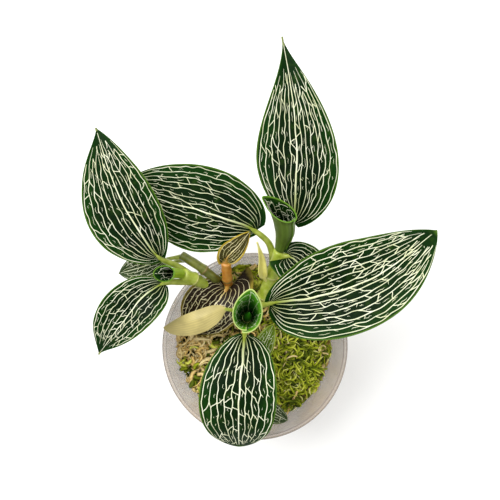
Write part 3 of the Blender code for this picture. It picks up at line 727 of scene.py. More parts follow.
def blade_finish(name, darkest, green, margin, flecks=0.4, roughness=0.5):
    """Dark velvety blade, greener towards its edges and tip, with a thin margin."""
    made = Finish(name, roughness, 0.05)
    across, place = made.across_and_place()
    spread = made.spread(across)
    mottle = made.noise(260.0, 5.0)
    lively = made.sum("MULTIPLY_ADD", made.noise(70.0, 2.0), 0.5, -0.25)
    outwards = made.sum("ADD", spread, lively)
    body = made.ramp(outwards, [(0.0, darkest), (0.55, darkest), (0.82, green), (1.0, green)])
    tipwards = made.ramp(made.sum("ADD", place, lively), [(0.3, 0.0), (0.95, 0.55)])
    body = made.mix(tipwards, body, green)
    speck = made.ramp(mottle, [(0.55, 0.0), (0.75, flecks)])
    body = made.mix(speck, body, tuple(0.5 * (g + m) for g, m in zip(green, margin)))
    edge = made.sum("MAXIMUM", made.ramp(spread, [(0.955, 0.0), (0.988, 1.0)]),
                    made.ramp(place, [(0.975, 0.0), (0.995, 1.0)]))
    made.paint(made.mix(edge, body, margin))
    made.bump(made.noise(1900.0, 2.0), 0.25, 0.0003)
    return made.material


def gold_finish(name, blade, gold, left_from, right_from):
    """An ageing blade whose margin has turned gold, broader on one side."""
    made = Finish(name, 0.5, 0.15)
    across, _ = made.across_and_place()
    wobble = made.sum("MULTIPLY_ADD", made.noise(220.0, 4.0), 0.16, -0.08)
    line = made.sum("ADD", across, wobble)
    edges = made.ramp(line, [(0.0, 1.0), (right_from, 0.85), (right_from + 0.05, 0.0),
                             (left_from - 0.05, 0.0), (left_from, 0.9), (1.0, 1.0)])
    patches = made.ramp(made.noise(300.0, 4.0), [(0.4, 0.0), (0.75, 0.6)])
    body = made.mix(patches, blade, scaled(blade, 2.2))
    made.paint(made.mix(edges, body, gold))
    made.bump(made.noise(1500.0, 3.0), 0.3, 0.0003)
    return made.material


def vein_finish(name, cream, stalk):
    """Cream net, turning to the stalk's yellow-green at the leaf's base."""
    made = Finish(name, 0.5, 0.3)
    across, place = made.across_and_place()
    spread = made.spread(across)
    near_base = made.sum("ADD", place, made.sum("MULTIPLY", spread, 0.35))
    aged = tuple(value * factor for value, factor in zip(cream, (0.72, 0.74, 0.5)))
    body = made.mix(made.ramp(made.noise(180.0, 3.0), [(0.35, 0.0), (0.7, 0.75)]), cream, aged)
    made.paint(made.mix(made.ramp(near_base, [(0.05, 1.0), (0.3, 0.0)]), body, stalk))
    return made.material


def fleshy_finish(name, colour, light, streaks=0.5, roughness=0.36):
    """Fleshy stem with fine lengthwise streaks."""
    made = Finish(name, roughness, 0.45)
    streak = made.noise(420.0, 4.0, stretch=(1.0, 1.0, 0.12))
    blotch = made.noise(90.0, 3.0)
    body = made.mix(made.ramp(streak, [(0.38, 0.0), (0.72, streaks)]), colour, light)
    made.paint(made.mix(made.ramp(blotch, [(0.5, 0.0), (0.8, 0.7)]), body, scaled(colour, 0.55)))
    made.bump(streak, 0.2, 0.0004)
    return made.material


def under_finish(name, colour):
    """Smooth lower face with faint lengthwise lines."""
    made = Finish(name, 0.5, 0.35)
    across, _ = made.across_and_place()
    lines = made.sum("SINE", made.sum("MULTIPLY", across, 75.0))
    streak = made.ramp(made.sum("MULTIPLY_ADD", lines, 0.5, 0.5), [(0.55, 0.0), (1.0, 0.6)])
    body = made.mix(streak, colour, scaled(colour, 1.35))
    patches = made.ramp(made.noise(140.0, 4.0), [(0.45, 0.0), (0.8, 0.8)])
    made.paint(made.mix(patches, body, scaled(colour, 0.62)))
    made.bump(made.noise(900.0, 3.0), 0.2, 0.0003)
    return made.material


STALK_GREEN = (0.21, 0.26, 0.018)
FIRST_LEAF_SEED = 3
FIRST_ROLL_SEED = 40


def stalk_tube(name, blade, thickness, finish):
    """The stalk, from its shoot to the blade and on beneath it, where it thins to nothing."""
    foot = blade.foot
    rows = list(STALK_FOOT)
    rows += [(foot * share, radius, depth) for share, radius, depth in STALK_BARE]
    rows += [(foot + (1 - foot) * share, radius, depth) for share, radius, depth in STALK_BENEATH]
    places, radii, depths = np.array(rows).T
    line, _, _, normal = blade.course.frame(places)
    sunk = line - normal * depths[:, None]
    along = distances(sunk)
    fine = np.linspace(0, 1, 26)
    thick = np.interp(fine, along / along[-1], radii) * thickness
    return laid_tube(name + "_stalk", sunk, fine, thick, 14, finish)


def leaf_piece(name, finishes, slot, density, bold, seed, widen):
    """Blade, raised net and stalk of one leaf."""
    blade = Blade(name)
    top, under, vein, stalk = finishes
    big = max(blade.half) > BIG_LEAF
    columns, rows = (44, 72) if big else (26, 40)
    pieces = [two_faced(name, columns, rows, blade, top, under)]
    if blade.veins[0]:
        lines = vein_lines(blade, random.Random(seed), density, bold)
        pieces.append(vein_net(name + "_net", blade, lines, vein, widen))
    pieces.append(stalk_tube(name, blade, 1.0 if big else SMALL_STALK, stalk))
    finished(joined(pieces, name), name)


class OBJECT_OT_orchid_leaves(bpy.types.Operator):
    """Build the open leaves with their raised nets"""
    bl_idname = "object.orchid_leaves"
    bl_label = "Leaves"

    def execute(self, context):
        looks = context.scene.orchid_leaves
        dark, green, margin = tuple(looks.dark), tuple(looks.green), tuple(looks.margin)
        vein = vein_finish("cream net", tuple(looks.vein), STALK_GREEN)
        stalk = fleshy_finish("leaf stalk", STALK_GREEN, (0.52, 0.55, 0.12))
        ochre = fleshy_finish("ochre leaf stalk", (0.40, 0.20, 0.03), (0.60, 0.40, 0.10))
        under = under_finish("leaf underside", tuple(looks.under))
        velvet = (blade_finish("velvet green blade", dark, green, margin), under, vein, stalk)
        young = (blade_finish("young netted blade", (0.05, 0.11, 0.008), (0.16, 0.24, 0.02),
                              (0.36, 0.42, 0.06)), under, vein, stalk)
        grey = (blade_finish("grey green blade", (0.02, 0.035, 0.012), (0.05, 0.075, 0.03),
                             (0.13, 0.16, 0.05)), under, vein, stalk)
        brown = (gold_finish("brown old blade", (0.011, 0.0055, 0.0012), (0.22, 0.17, 0.02),
                             0.985, 0.02),
                 under, vein_finish("pale old net", (0.78, 0.70, 0.46), (0.4, 0.3, 0.08)), ochre)
        gold = (gold_finish("gold edged blade", (0.030, 0.026, 0.004), (0.40, 0.28, 0.02), 0.955, 0.03),
                under, vein_finish("buff net", (0.74, 0.66, 0.38), (0.5, 0.3, 0.06)), ochre)
        beige = under_finish("dry beige blade", (0.41, 0.34, 0.125))
        dry = (beige, beige, vein, stalk)
        pale = fleshy_finish("pale bract", (0.66, 0.60, 0.16), (0.80, 0.76, 0.34))
        bract = (pale, pale, vein, pale)
        # finishes, slot, how close the links of the net are, how bold its veins are
        plan = {
            "leaf_top": (velvet, "leaf_green", 1.2, 0.95),
            "leaf_upper_left": (velvet, "leaf_green", 1.0, 0.9),
            "leaf_behind": (velvet, "leaf_green", 0.9, 0.9),
            "leaf_lower_left": (velvet, "leaf_green", 1.2, 0.9),
            "leaf_right": (velvet, "leaf_green", 1.4, 1.2),
            "leaf_bottom": (velvet, "leaf_green", 0.9, 1.15),
            "leaf_brown": (brown, "leaf_old", 1.0, 1.1),
            "leaf_gold_edge": (gold, "leaf_old", 0.3, 1.0),
            "leaf_dry_folded": (dry, "leaf_dry", 0.5, 1.0),
            "leaf_heart": (velvet, "leaf_green", 0.6, 1.0),
            "leaf_netted": (young, "leaf_young", 1.4, 1.0),
            "leaf_rim": (grey, "leaf_green", 0.8, 0.9),
            "leaf_grey": (grey, "leaf_green", 0.8, 0.9),
            "leaf_hidden": (grey, "leaf_green", 0.5, 0.9),
            "bract_pale": (bract, "leaf_dry", 0.5, 1.0),
        }
        widen = looks.vein_width / (VEIN_WIDTH * MM)
        for seed, (name, row) in enumerate(plan.items(), start=FIRST_LEAF_SEED):
            leaf_piece(name, *row, seed, widen)
        return {"FINISHED"}


class OBJECT_OT_orchid_rolled(bpy.types.Operator):
    """Build the young leaves that are still rolled up"""
    bl_idname = "object.orchid_rolled"
    bl_label = "Rolled leaves"

    def execute(self, context):
        looks = context.scene.orchid_leaves
        vein = vein_finish("young net", tuple(looks.vein), (0.3, 0.4, 0.05))
        inner = blade_finish("rolled inner face", (0.012, 0.12, 0.005), (0.09, 0.29, 0.008),
                             (0.42, 0.52, 0.16))
        lime = under_finish("rolled lime outside", (0.22, 0.34, 0.008))
        dark_inner = blade_finish("rolled dark inner face", tuple(looks.dark), tuple(looks.green),
                                  (0.10, 0.21, 0.02))
        green = under_finish("rolled green outside", (0.07, 0.12, 0.01))
        newest = fleshy_finish("newest leaf", (0.03, 0.22, 0.006), (0.10, 0.36, 0.012))
        # finish inside and outside, how close the links are, veins a side
        plan = {"rolled_centre": (inner, lime, 0.35, (4, 4)),
                "rolled_top": (dark_inner, green, 1.1, (6, 6)),
                "rolled_left": (dark_inner, lime, 0.4, (3, 3))}
        for seed, (name, row) in enumerate(plan.items(), start=FIRST_ROLL_SEED):
            inside, outside, density, veins = row
            roll = Roll(name, veins)
            piece = two_faced(name, 72, 44, roll, inside, outside)
            lines = vein_lines(roll, random.Random(seed), density, bold=0.8)
            pieces = [piece, vein_net(name + "_net", roll, lines, vein, widen=0.8)]
            if name == "rolled_centre":
                spear = np.linspace(0.0, 1.0, 14)
                radii = np.interp(spear, *NEWEST_RADII)
                pieces.append(laid_tube("newest_leaf", NEWEST_LEAF, spear, radii, 16, newest))
            finished(joined(pieces, name), name)
        return {"FINISHED"}


class OBJECT_OT_orchid_shoots(bpy.types.Operator):
    """Build the jointed shoots"""
    bl_idname = "object.orchid_shoots"
    bl_label = "Shoots"

    def execute(self, context):
        looks = context.scene.orchid_shoots
        pale = (0.62, 0.64, 0.22)
        green = fleshy_finish("green shoot", tuple(looks.green), pale)
        olive = fleshy_finish("olive shoot", tuple(looks.olive), (0.24, 0.25, 0.04))
        orange = fleshy_finish("orange spent shoot", tuple(looks.orange), (0.72, 0.42, 0.10))
        scar = fleshy_finish("pale joint scar", (0.46, 0.47, 0.13), (0.62, 0.62, 0.26))
        brown = fleshy_finish("brown joint scar", (0.13, 0.10, 0.02), (0.24, 0.17, 0.05))
        # finish, finish of its scars, slot
        plan = {"shoot_centre": (green, scar, "shoot_green"),
                "shoot_top": (green, scar, "shoot_green"),
                "shoot_left": (green, scar, "shoot_green"),
                "shoot_olive": (olive, brown, "shoot_olive"),
                "shoot_stub": (orange, brown, "shoot_orange"),
                "shoot_front": (green, scar, "shoot_green")}
        for name, (finish, joint, slot) in plan.items():
            path, radius, rings = SHOOTS[name]
            middle = np.linspace(0.02, 0.985, 70)
            places = np.r_[0.0, 0.004, 0.012, middle, 0.992, 0.997, 1.0]
            joints = sum(np.exp(-((places - ring) / JOINT_SPREAD) ** 2) for ring in rings)
            radii = radius * ((1 + JOINT_SWELL * joints) * (1 + 0.02 * np.sin(places * 60)))
            radii[:3] *= ROUND_FOOT
            radii[-3:] *= ROUND_TOP
            pieces = [laid_tube(name, path, places, radii, 24, finish)]
            for ring in rings:
                around = np.linspace(ring - SCAR_HALF, ring + SCAR_HALF, 9)
                band = radius * (1.13 + 0.05 * np.sin(np.linspace(0, math.pi, 9)))
                band[0] = band[-1] = 0.0
                pieces.append(laid_tube(f"{name}_scar", path, around, band, 24, joint))
            finished(joined(pieces, name), name)
        return {"FINISHED"}


# Moss, in mm

INNER_FOOT = 29.0              # radius of the cup's inside at its foot
INNER_FLARE = 13.7             # how much wider it is at the rim
RIM_HEIGHT = 75.0
WALL_GAP = 0.9                 # no strand comes nearer to the wall
MAT_X, MAT_Y = 20.0, -6.0      # middle of the fresh moss
MAT_HALF = (18.0, 27.0)        # half its width and depth
HEADS_HALF = (18.5, 28.0)      # and half those of the patch in which its heads stand
HEADS_LIMIT = 39.0             # no head stands farther from the cup's axis
HEAD_TOP, HEAD_RISE = 58.2, 3.2     # height of the outermost heads, and what the middle ones add
MAT_TOP = 56.4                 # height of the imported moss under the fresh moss
BED_TOP = 59.4                 # and under the dry strands
BED_BUMPS = 1.3
BED_RADIUS = 41.0
PLUG_FLOOR, PLUG_WALL = 0.18, 0.6   # shares of the plug, from below, that end its floor and its side
PLUG_LOW, PLUG_RISE = 2.0, 55.0     # height of its lower edge, and from there to its upper edge
DRY_TOP, FRESH_TOP = 64.6, 65.0     # no dry strand, and no fresh branch, stands higher
DRY_TAPER = np.array([0.5, 1.0, 0.85, 1.1, 0.8, 0.95, 0.7, 0.45, 0.1])
WALL_TAPER = np.array([0.3, 0.9, 1.0, 1.0, 0.9, 0.6, 0.15])
BRANCH_TAPER = np.array([0.6, 0.9, 1.1, 0.9, 1.0, 0.8, 0.9, 0.6, 0.4, 0.05])
DRY_SEED, WALL_SEED, HEAD_SEED = 21, 5, 8


def wall_radius(height):
    """The cup's inside radius at a height."""
    return INNER_FOOT + INNER_FLARE * height / RIM_HEIGHT


def bumps(x, y):
    """Soft hills and hollows, from about -1 to 1."""
    return (np.sin(0.42 * x + 1.3) * np.cos(0.37 * y) + 0.6 * np.sin(0.81 * x - 0.53 * y)
            + 0.4 * np.cos(0.95 * y + 0.6 * x)) / 2


def mat_reach(x, y):
    """Below 1 inside the fresh moss."""
    return np.hypot((x - MAT_X) / MAT_HALF[0], (y - MAT_Y) / MAT_HALF[1])


def bed_height(x, y):
    """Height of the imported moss, which lies lower under the fresh moss."""
    full = BED_TOP + BED_BUMPS * bumps(x, y)
    blend = np.clip((mat_reach(x, y) - 1.2) / 0.4, 0, 1)
    return MAT_TOP + (full - MAT_TOP) * blend


def strand_arrays(lines):
    """Closed three-sided strands: each line is (points, half widths, flatness, tone)."""
    points, faces, tones = [], [], []
    total = 0
    for line, half, flat, tone in lines:
        count = len(line)
        tangent = unit(np.gradient(line, axis=0))
        side = unit(np.cross(tangent, UP + 0.3 * np.roll(tangent, 1, axis=1)))
        normal = np.cross(side, tangent)
        half = half[:, None]
        ring = np.stack([line - side * half, line + side * half, line + normal * half * flat], axis=1)
        points.append(ring.reshape(-1, 3))
        tones.append(np.repeat(np.broadcast_to(tone, count), 3))
        base = total + 3 * np.arange(count - 1)[:, None]
        for k in range(3):
            n = (k + 1) % 3
            faces.append(np.hstack([base + k, base + n, base + 3 + n]))
            faces.append(np.hstack([base + k, base + 3 + n, base + 3 + k]))
        last = total + 3 * (count - 1)
        faces.append(np.array([[total, total + 2, total + 1], [last, last + 1, last + 2]]))
        total += 3 * count
    return np.vstack(points), np.vstack(faces), np.concatenate(tones)


def curl_line(rng, start, heading, length, lift, count, turn, droop):
    """A curling line: it sets off along its heading, rises, turns and droops."""
    points = [np.array(start, float)]
    pitch = lift
    step = length / (count - 1)
    for _ in range(count - 1):
        level = math.cos(pitch)
        ahead = np.array([math.cos(heading) * level, math.sin(heading) * level, math.sin(pitch)])
        points.append(points[-1] + ahead * step)
        heading += turn + rng.uniform(-0.25, 0.25)
        pitch -= droop + rng.uniform(-0.15, 0.15)
    return np.array(points)


def kept_inside(line, top):
    """Bend a line so that it stays inside the cup and below a height."""
    radius = np.hypot(line[:, 0], line[:, 1])
    limit = wall_radius(line[:, 2]) - WALL_GAP
    pull = np.minimum(1.0, limit / np.maximum(radius, 1e-6))
    line[:, 0] *= pull
    line[:, 1] *= pull
    line[:, 2] = np.minimum(line[:, 2], top)
    return line


def moss_finish(name):
    """Strand colour from its tone: dark olive, green and yellow-green below half, then tan and cream,
    with painted shade in the fibre's grooves.
    """
    made = Finish(name, 0.75, 0.2)
    tone = made.add("ShaderNodeAttribute", attribute_name=TONE).outputs["Fac"]
    colour = made.ramp(tone, [(0.0, (0.03, 0.045, 0.003)), (0.15, (0.12, 0.17, 0.006)),
                              (0.3, (0.45, 0.53, 0.02)), (0.42, (0.78, 0.82, 0.12)),
                              (0.5, (0.95, 0.95, 0.38)), (0.6, (0.38, 0.22, 0.04)),
                              (0.75, (0.90, 0.63, 0.21)), (1.0, (1.0, 0.87, 0.48))])
    fibre = made.noise(900.0, 4.0)
    # Painted shade: the fibre's low grooves, the same noise as the bump, are darkened towards brown.
    painted_groove_shade = made.ramp(fibre, [(0.35, 0.28), (0.65, 0.0)])
    made.paint(made.mix(painted_groove_shade, colour, (0.25, 0.18, 0.06), "MULTIPLY"))
    made.bump(fibre, 0.5, 0.0003)
    return made.material


def packed_moss_shade_finish(name):
    """Packed moss between the strands: near black as painted shade deep between them, with dull green and
    tan patches of its own.
    """
    made = Finish(name, 0.9, 0.1)
    patch = made.noise(95.0, 4.0)
    fibre = made.noise(520.0, 6.0, stretch=(1.0, 1.0, 2.2))
    # Painted shade: the body runs from near black, for the dark depths between the strands, to the moss's
    # own green and tan.
    body = made.ramp(patch, [(0.3, (0.016, 0.018, 0.003)), (0.5, (0.05, 0.05, 0.008)),
                             (0.7, (0.13, 0.09, 0.03))])
    fine = made.ramp(fibre, [(0.45, 0.0), (0.65, 0.8)])
    made.paint(made.mix(fine, body, (0.25, 0.19, 0.07)))
    made.bump(fibre, 0.9, 0.0012)
    return made.material


def packed_plug(finish):
    """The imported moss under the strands: a ball reshaped to the cup, with a lumpy top."""
    bpy.ops.object.select_all(action="DESELECT")
    bpy.ops.mesh.primitive_uv_sphere_add(segments=96, ring_count=60, radius=1.0)
    plug = bpy.context.object
    ball_x, ball_y, ball_z = vertex_points(plug.data).T
    angle = np.arctan2(ball_y, ball_x)
    level = 1 - np.arccos(np.clip(ball_z, -1, 1)) / math.pi
    floor = np.clip(level / PLUG_FLOOR, 0, 1)
    side = np.clip((level - PLUG_FLOOR) / (PLUG_WALL - PLUG_FLOOR), 0, 1)
    top = np.clip((level - PLUG_WALL) / (1 - PLUG_WALL), 0, 1)
    height = PLUG_LOW + PLUG_RISE * side
    radius = np.where(level < PLUG_FLOOR, (wall_radius(PLUG_LOW) - 2.4) * floor,
                      (wall_radius(height) - 1.9) * (1 - top))
    lumps = 0.5 * np.sin(9 * angle + 0.3 * height) * np.cos(0.45 * height + 2 * np.sin(3 * angle))
    radius = radius + lumps * (side > 0) * (side < 1)
    x = radius * np.cos(angle)
    y = radius * np.sin(angle)
    rough = 0.8 * np.sin(1.9 * x + 0.7 * y) * np.cos(1.7 * y - 0.5 * x)
    rounding = 1.5 * (1 - np.minimum(1, top * 9))
    height = np.where(top > 0, bed_height(x, y) - 1.6 + rough - rounding, height)
    plug.data.vertices.foreach_set("co", (np.stack([x, y, height], axis=1) * MM).ravel())
    plug.data.update()
    plug.data.materials.append(finish)
    bpy.ops.object.shade_smooth()
    return plug


def dry_tone(rng, x, y):
    """Cream on the left, tan elsewhere, mostly green by the back wall and partly at the front left."""
    green_back = y > 22
    green_left = x < -22 and y < -8
    chance = 0.75 if green_back else 0.42 if green_left else 0.1
    if rng.random() < chance:
        return rng.uniform(0.12, 0.44)
    return rng.uniform(0.62, 0.9) if x > 2 else rng.uniform(0.76, 1.0)


def bed_strands(count):
    """Curled dry strands over the bed."""
    rng = random.Random(DRY_SEED)
    lines = []
    while len(lines) < count:
        angle = rng.uniform(0, 2 * math.pi)
        radius = BED_RADIUS * math.sqrt(rng.random())
        x, y = radius * math.cos(angle), radius * math.sin(angle)
        if mat_reach(x, y) < 0.8:
            continue
        high = rng.random() ** 1.5
        start = (x, y, bed_height(x, y) - 1.4 + 2.6 * high)
        length = rng.uniform(4.0, 13.0)
        line = curl_line(rng, start, rng.uniform(0, 2 * math.pi), length, rng.uniform(0.1, 1.0), 9,
                         rng.uniform(-0.65, 0.65), rng.uniform(0.1, 0.45))
        line = kept_inside(line, DRY_TOP)
        line[:, 2] = np.maximum(line[:, 2], bed_height(line[:, 0], line[:, 1]) - 1.6 + 2 * high)
        wide = rng.choice((0.25, 0.4, 0.6, 1.1)) * rng.uniform(0.8, 1.2)
        # Painted shade: about a third of the strands get a darker tone the lower they lie, for the shade
        # under the strands above.
        painted_shade_low = 0.16 * (1 - high) * (rng.random() < 0.35)
        flat = rng.uniform(0.25, 0.7)
        lines.append((line, wide * DRY_TAPER, flat, np.clip(dry_tone(rng, x, y) - painted_shade_low, 0, 1)))
    return lines


def wall_strands(count):
    """Strands pressed flat against the inside of the wall."""
    rng = random.Random(WALL_SEED)
    lines = []
    for _ in range(count):
        height = rng.uniform(3.0, 57.0)
        angle = rng.uniform(0, 2 * math.pi)
        slope = rng.uniform(-1.2, 1.2)
        length = rng.uniform(5.0, 13.0)
        part = np.linspace(0, 1, 7)
        wave = 1.2 * np.sin(5 * part + angle)
        heights = np.clip(height + length * part * math.sin(slope) + wave, 2.2, 58.0)
        radius = wall_radius(heights) - 1.25 - 0.5 * rng.random()
        angles = angle + length * part * math.cos(slope) / 36.0 + 0.02 * np.sin(7 * part + height)
        line = np.stack([radius * np.cos(angles), radius * np.sin(angles), heights], axis=1)
        half = rng.uniform(0.25, 0.6) * WALL_TAPER
        tone = rng.uniform(0.1, 0.45) if rng.random() < 0.35 else rng.uniform(0.55, 0.95)
        lines.append((line, half, 0.4, tone))
    return lines


def fresh_heads(count, branches):
    """Fresh heads: pointed branches that spring from a centre and arch over."""
    rng = random.Random(HEAD_SEED)
    lines = []
    made = 0
    while made < count:
        angle = rng.uniform(0, 2 * math.pi)
        spread = math.sqrt(rng.random())
        x = MAT_X + HEADS_HALF[0] * spread * math.cos(angle)
        y = MAT_Y + HEADS_HALF[1] * spread * math.sin(angle)
        if math.hypot(x, y) > HEADS_LIMIT:
            continue
        made += 1
        height = HEAD_TOP + HEAD_RISE * max(0.0, 1 - spread**2) + rng.uniform(-2.6, 1.4)
        tone = rng.uniform(0.2, 0.42)
        paler = rng.random() < 0.12
        first = rng.uniform(0, 2 * math.pi)
        for branch in range(branches):
            heading = first + 2 * math.pi * branch / branches + rng.uniform(-0.2, 0.2)
            length = rng.uniform(4.5, 11.0)
            line = curl_line(rng, (x, y, height - 0.8), heading, length, rng.uniform(0.4, 1.2), 10,
                             rng.uniform(-0.45, 0.45), rng.uniform(0.15, 0.4))
            line = kept_inside(line, FRESH_TOP)
            half = rng.uniform(0.25, 0.65) * BRANCH_TAPER
            # Each branch darkens towards its foot, painted shade down in the mat, and pales towards its
            # tip.
            shade = np.clip(tone + np.linspace(-0.22, 0.16, 10) + rng.uniform(-0.08, 0.08), 0.02, 0.5)
            if paler and branch % 2:
                shade = np.linspace(0.8, 1.0, 10)
            lines.append((line, half, rng.uniform(0.3, 0.6), shade))
    return lines


class OBJECT_OT_orchid_moss(bpy.types.Operator):
    """Fill the cup with packed moss, dry strands and fresh heads"""
    bl_idname = "object.orchid_moss"
    bl_label = "Sphagnum"

    def execute(self, context):
        moss = context.scene.orchid_moss
        strand = moss_finish("sphagnum strands")
        packed = packed_moss_shade_finish("packed sphagnum in painted shade")
        lines = bed_strands(moss.dry_strands) + wall_strands(moss.wall_strands)
        points, faces, tones = strand_arrays(lines)
        dry = mesh_piece("dry_strands", points, faces, strand, tones)
        bed = joined([packed_plug(packed), dry], "sphagnum_bed")
        finished(bed, "sphagnum_bed")
        points, faces, tones = strand_arrays(fresh_heads(moss.heads, moss.branches))
        mat = mesh_piece("sphagnum_green", points, faces, strand, tones)
        finished(mat, "sphagnum_green")
        return {"FINISHED"}


# Cup: (radius, height) in mm, the lip's points from its outermost radius and from the rim's height
FOOT_RADIUS = 30
FOOT_POINTS = ((28.6, 0.0), (29.4, 0.3), (30, 1.2), (30.3, 2.4))
LIP_POINTS = ((-0.4, -2.6), (0.0, -2.1), (0.0, -0.7), (-0.25, -0.2), (-0.7, 0.0))
FLOOR_POINTS = ((28.0, 1.9), (26.6, 1.4))
LIP_REACH = 1.3                                       # how far the lip stands out from the wall
OUTSIDE_HEIGHTS = (12, 24, 36, 48, 60, 68, 71.4)
INSIDE_HEIGHTS = (66, 54, 42, 30, 18, 8, 3.6)


def cup_profile(cup):
    """(radius, height) in metres from the foot, up the outside, over the lip and down the inside."""
    lip = cup.rim_radius
    outer = lip - LIP_REACH * MM
    top = cup.height
    foot = FOOT_RADIUS * MM
    slope = (outer - foot) / top
    profile = [(radius * MM, height * MM) for radius, height in FOOT_POINTS]
    profile += [(foot + slope * height * MM, height * MM) for height in OUTSIDE_HEIGHTS]
    profile += [(lip + inwards * MM, top + down * MM) for inwards, down in LIP_POINTS]
    profile += [(outer - 0.5 * MM, top), (outer - cup.wall, top - 0.5 * MM)]
    profile += [(foot - cup.wall + slope * height * MM, height * MM) for height in INSIDE_HEIGHTS]
    return profile + [(radius * MM, height * MM) for radius, height in FLOOR_POINTS]


def clear_finish(cup):
    """Thin warm grey plastic, slightly hazy, with faint scuffs, and dark lines at the rolled lip: painted
    shade for the light that the lip bends away.
    """
    made = Finish("clear hazy plastic", 0.12, 0.6)
    scuff = made.noise(60.0, 5.0, stretch=(1.0, 1.0, 0.3))
    tint = tuple(cup.tint)
    body = made.mix(made.ramp(scuff, [(0.4, 0.0), (0.7, 1.0)]), tint, scaled(tint, 1.35))
    parts = made.add("ShaderNodeSeparateXYZ", {0: made.position()})
    squares = [made.sum("MULTIPLY", parts.outputs[axis], parts.outputs[axis]) for axis in (0, 1)]
    radius = made.sum("DIVIDE", made.sum("SQRT", made.sum("ADD", *squares)), cup.rim_radius)
    # Painted shade: two dark, more opaque lines at the lip's inner and outer edges stand for the light
    # that the rolled lip bends away.
    lip = made.ramp(made.sum("DIVIDE", parts.outputs[2], cup.height), [(0.958, 0.0), (0.966, 1.0)])
    lines = made.ramp(radius, [(0.948, 0.15), (0.956, 1.0), (0.966, 0.1), (0.984, 0.1), (0.996, 0.85)])
    edge = made.sum("MULTIPLY", lip, lines)
    made.paint(made.mix(edge, body, (0.16, 0.13, 0.11)))
    haze = made.ramp(scuff, [(0.3, cup.haze * 0.8), (0.8, cup.haze * 1.2)])
    solid = made.sum("MAXIMUM", haze, made.sum("MULTIPLY", edge, 0.85))
    made.links.new(solid, made.shader.inputs["Alpha"])
    return made.material


class OBJECT_OT_orchid_cup(bpy.types.Operator):
    """Raise the clear cup from its foot, over the rolled lip and down inside"""
    bl_idname = "object.orchid_cup"
    bl_label = "Clear cup"

    def execute(self, context):
        cup = context.scene.orchid_cup
        profile = cup_profile(cup)
        bpy.ops.object.select_all(action="DESELECT")
        bpy.ops.mesh.primitive_circle_add(vertices=128, radius=profile[0][0], fill_type="NGON",
                                          location=(0, 0, 0))
        piece = bpy.context.object
        piece.name = piece.data.name = "pot_clear"
        bpy.ops.object.mode_set(mode="EDIT")
        bpy.ops.mesh.select_all(action="SELECT")
        for (before, low), (after, high) in zip(profile, profile[1:]):
            bpy.ops.mesh.extrude_region_move(TRANSFORM_OT_translate={"value": (0, 0, high - low)})
            ratio = after / before
            bpy.ops.transform.resize(value=(ratio, ratio, 1.0), center_override=(0, 0, high))
        bpy.ops.mesh.select_all(action="SELECT")
        bpy.ops.mesh.normals_make_consistent(inside=False)
        bpy.ops.object.mode_set(mode="OBJECT")
        bpy.ops.object.shade_smooth_by_angle(angle=math.radians(40))
        piece.data.materials.append(clear_finish(cup))
        finished(piece, "pot_clear")
        return {"FINISHED"}


LIGHT_AIM = (0.0, 0.0, 0.06)
FLOOR_DEPTH = -0.0002  # just under the cup, so that the two never share a face


def area_light(name, place, size, power):
    """A soft square light, in metres and watts, turned towards the cup."""
    bpy.ops.object.light_add(type="AREA", location=place)
    light = bpy.context.object
    light.name = name
    light.data.size = size
    light.data.energy = power
    away = np.subtract(place, LIGHT_AIM)
    light.rotation_euler = (math.atan2(math.hypot(away[0], away[1]), away[2]), 0.0,
                            math.atan2(away[1], away[0]) + math.pi / 2)


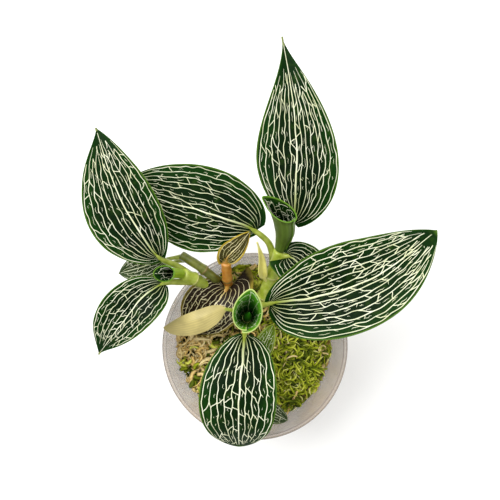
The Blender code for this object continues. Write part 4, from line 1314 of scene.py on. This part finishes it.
class OBJECT_OT_orchid_studio(bpy.types.Operator):
    """Set the camera, the pale floor and the soft lights"""
    bl_idname = "object.orchid_studio"
    bl_label = "Studio"

    def execute(self, context):
        studio = context.scene.orchid_studio
        bpy.ops.object.select_all(action="DESELECT")
        bpy.ops.mesh.primitive_plane_add(size=4.0, location=(0, 0, FLOOR_DEPTH))
        floor = bpy.context.object
        floor.name = "floor"
        made = Finish("pale floor", 0.8, 0.1)
        made.shader.inputs["Base Color"].default_value = (*studio.floor, 1.0)
        floor.data.materials.append(made.material)
        bpy.ops.object.camera_add(location=studio.camera_place, rotation=(studio.camera_tilt, 0, 0))
        camera = bpy.context.object
        camera.data.lens = studio.lens
        camera.data.sensor_width = 36.0
        camera.data.clip_start = 0.01
        context.scene.camera = camera
        area_light("soft key", (-0.35, 0.30, 0.75), 0.5, 7.5)
        area_light("fill", (0.55, -0.25, 0.6), 0.7, 2.5)
        area_light("back", (0.1, 0.7, 0.35), 0.5, 1.5)
        world = bpy.data.worlds.new("white studio")
        world.use_nodes = True
        world.node_tree.nodes["Background"].inputs["Color"].default_value = (1.0, 1.0, 1.0, 1.0)
        world.node_tree.nodes["Background"].inputs["Strength"].default_value = 0.7
        context.scene.world = world
        context.scene.view_settings.view_transform = "Standard"
        return {"FINISHED"}


class VIEW3D_PT_orchid(bpy.types.Panel):
    """Lists the orchid's builders and their settings."""
    bl_label = "Jewel orchid"
    bl_space_type = "VIEW_3D"
    bl_region_type = "UI"
    bl_category = "Orchid"

    def draw(self, context):
        for operator, settings in BUILDERS:
            self.layout.operator(operator.bl_idname)
            group = getattr(context.scene, settings)
            for name in group.bl_rna.properties.keys():
                if name not in {"rna_type", "name"}:
                    self.layout.prop(group, name)


BUILDERS = [(OBJECT_OT_orchid_studio, "orchid_studio"), (OBJECT_OT_orchid_cup, "orchid_cup"),
            (OBJECT_OT_orchid_moss, "orchid_moss"), (OBJECT_OT_orchid_shoots, "orchid_shoots"),
            (OBJECT_OT_orchid_leaves, "orchid_leaves"), (OBJECT_OT_orchid_rolled, "orchid_leaves")]
SETTINGS = {"orchid_cup": OrchidCup, "orchid_moss": OrchidMoss, "orchid_shoots": OrchidShoots,
            "orchid_leaves": OrchidLeaves, "orchid_studio": OrchidStudio}


def register():
    """Register the settings, the operators and the panel."""
    for name, group in SETTINGS.items():
        bpy.utils.register_class(group)
        setattr(bpy.types.Scene, name, PointerProperty(type=group))
    for operator, _ in BUILDERS:
        bpy.utils.register_class(operator)
    bpy.utils.register_class(VIEW3D_PT_orchid)


def unregister():
    """Take away what register added, in reverse."""
    bpy.utils.unregister_class(VIEW3D_PT_orchid)
    for operator, _ in reversed(BUILDERS):
        bpy.utils.unregister_class(operator)
    for name, group in SETTINGS.items():
        delattr(bpy.types.Scene, name)
        bpy.utils.unregister_class(group)


def main():
    """Build the whole scene."""
    register()
    bpy.ops.object.orchid_studio()
    bpy.ops.object.orchid_cup()
    bpy.ops.object.orchid_moss()
    bpy.ops.object.orchid_shoots()
    bpy.ops.object.orchid_leaves()
    bpy.ops.object.orchid_rolled()


if __name__ == "__main__":
    main()
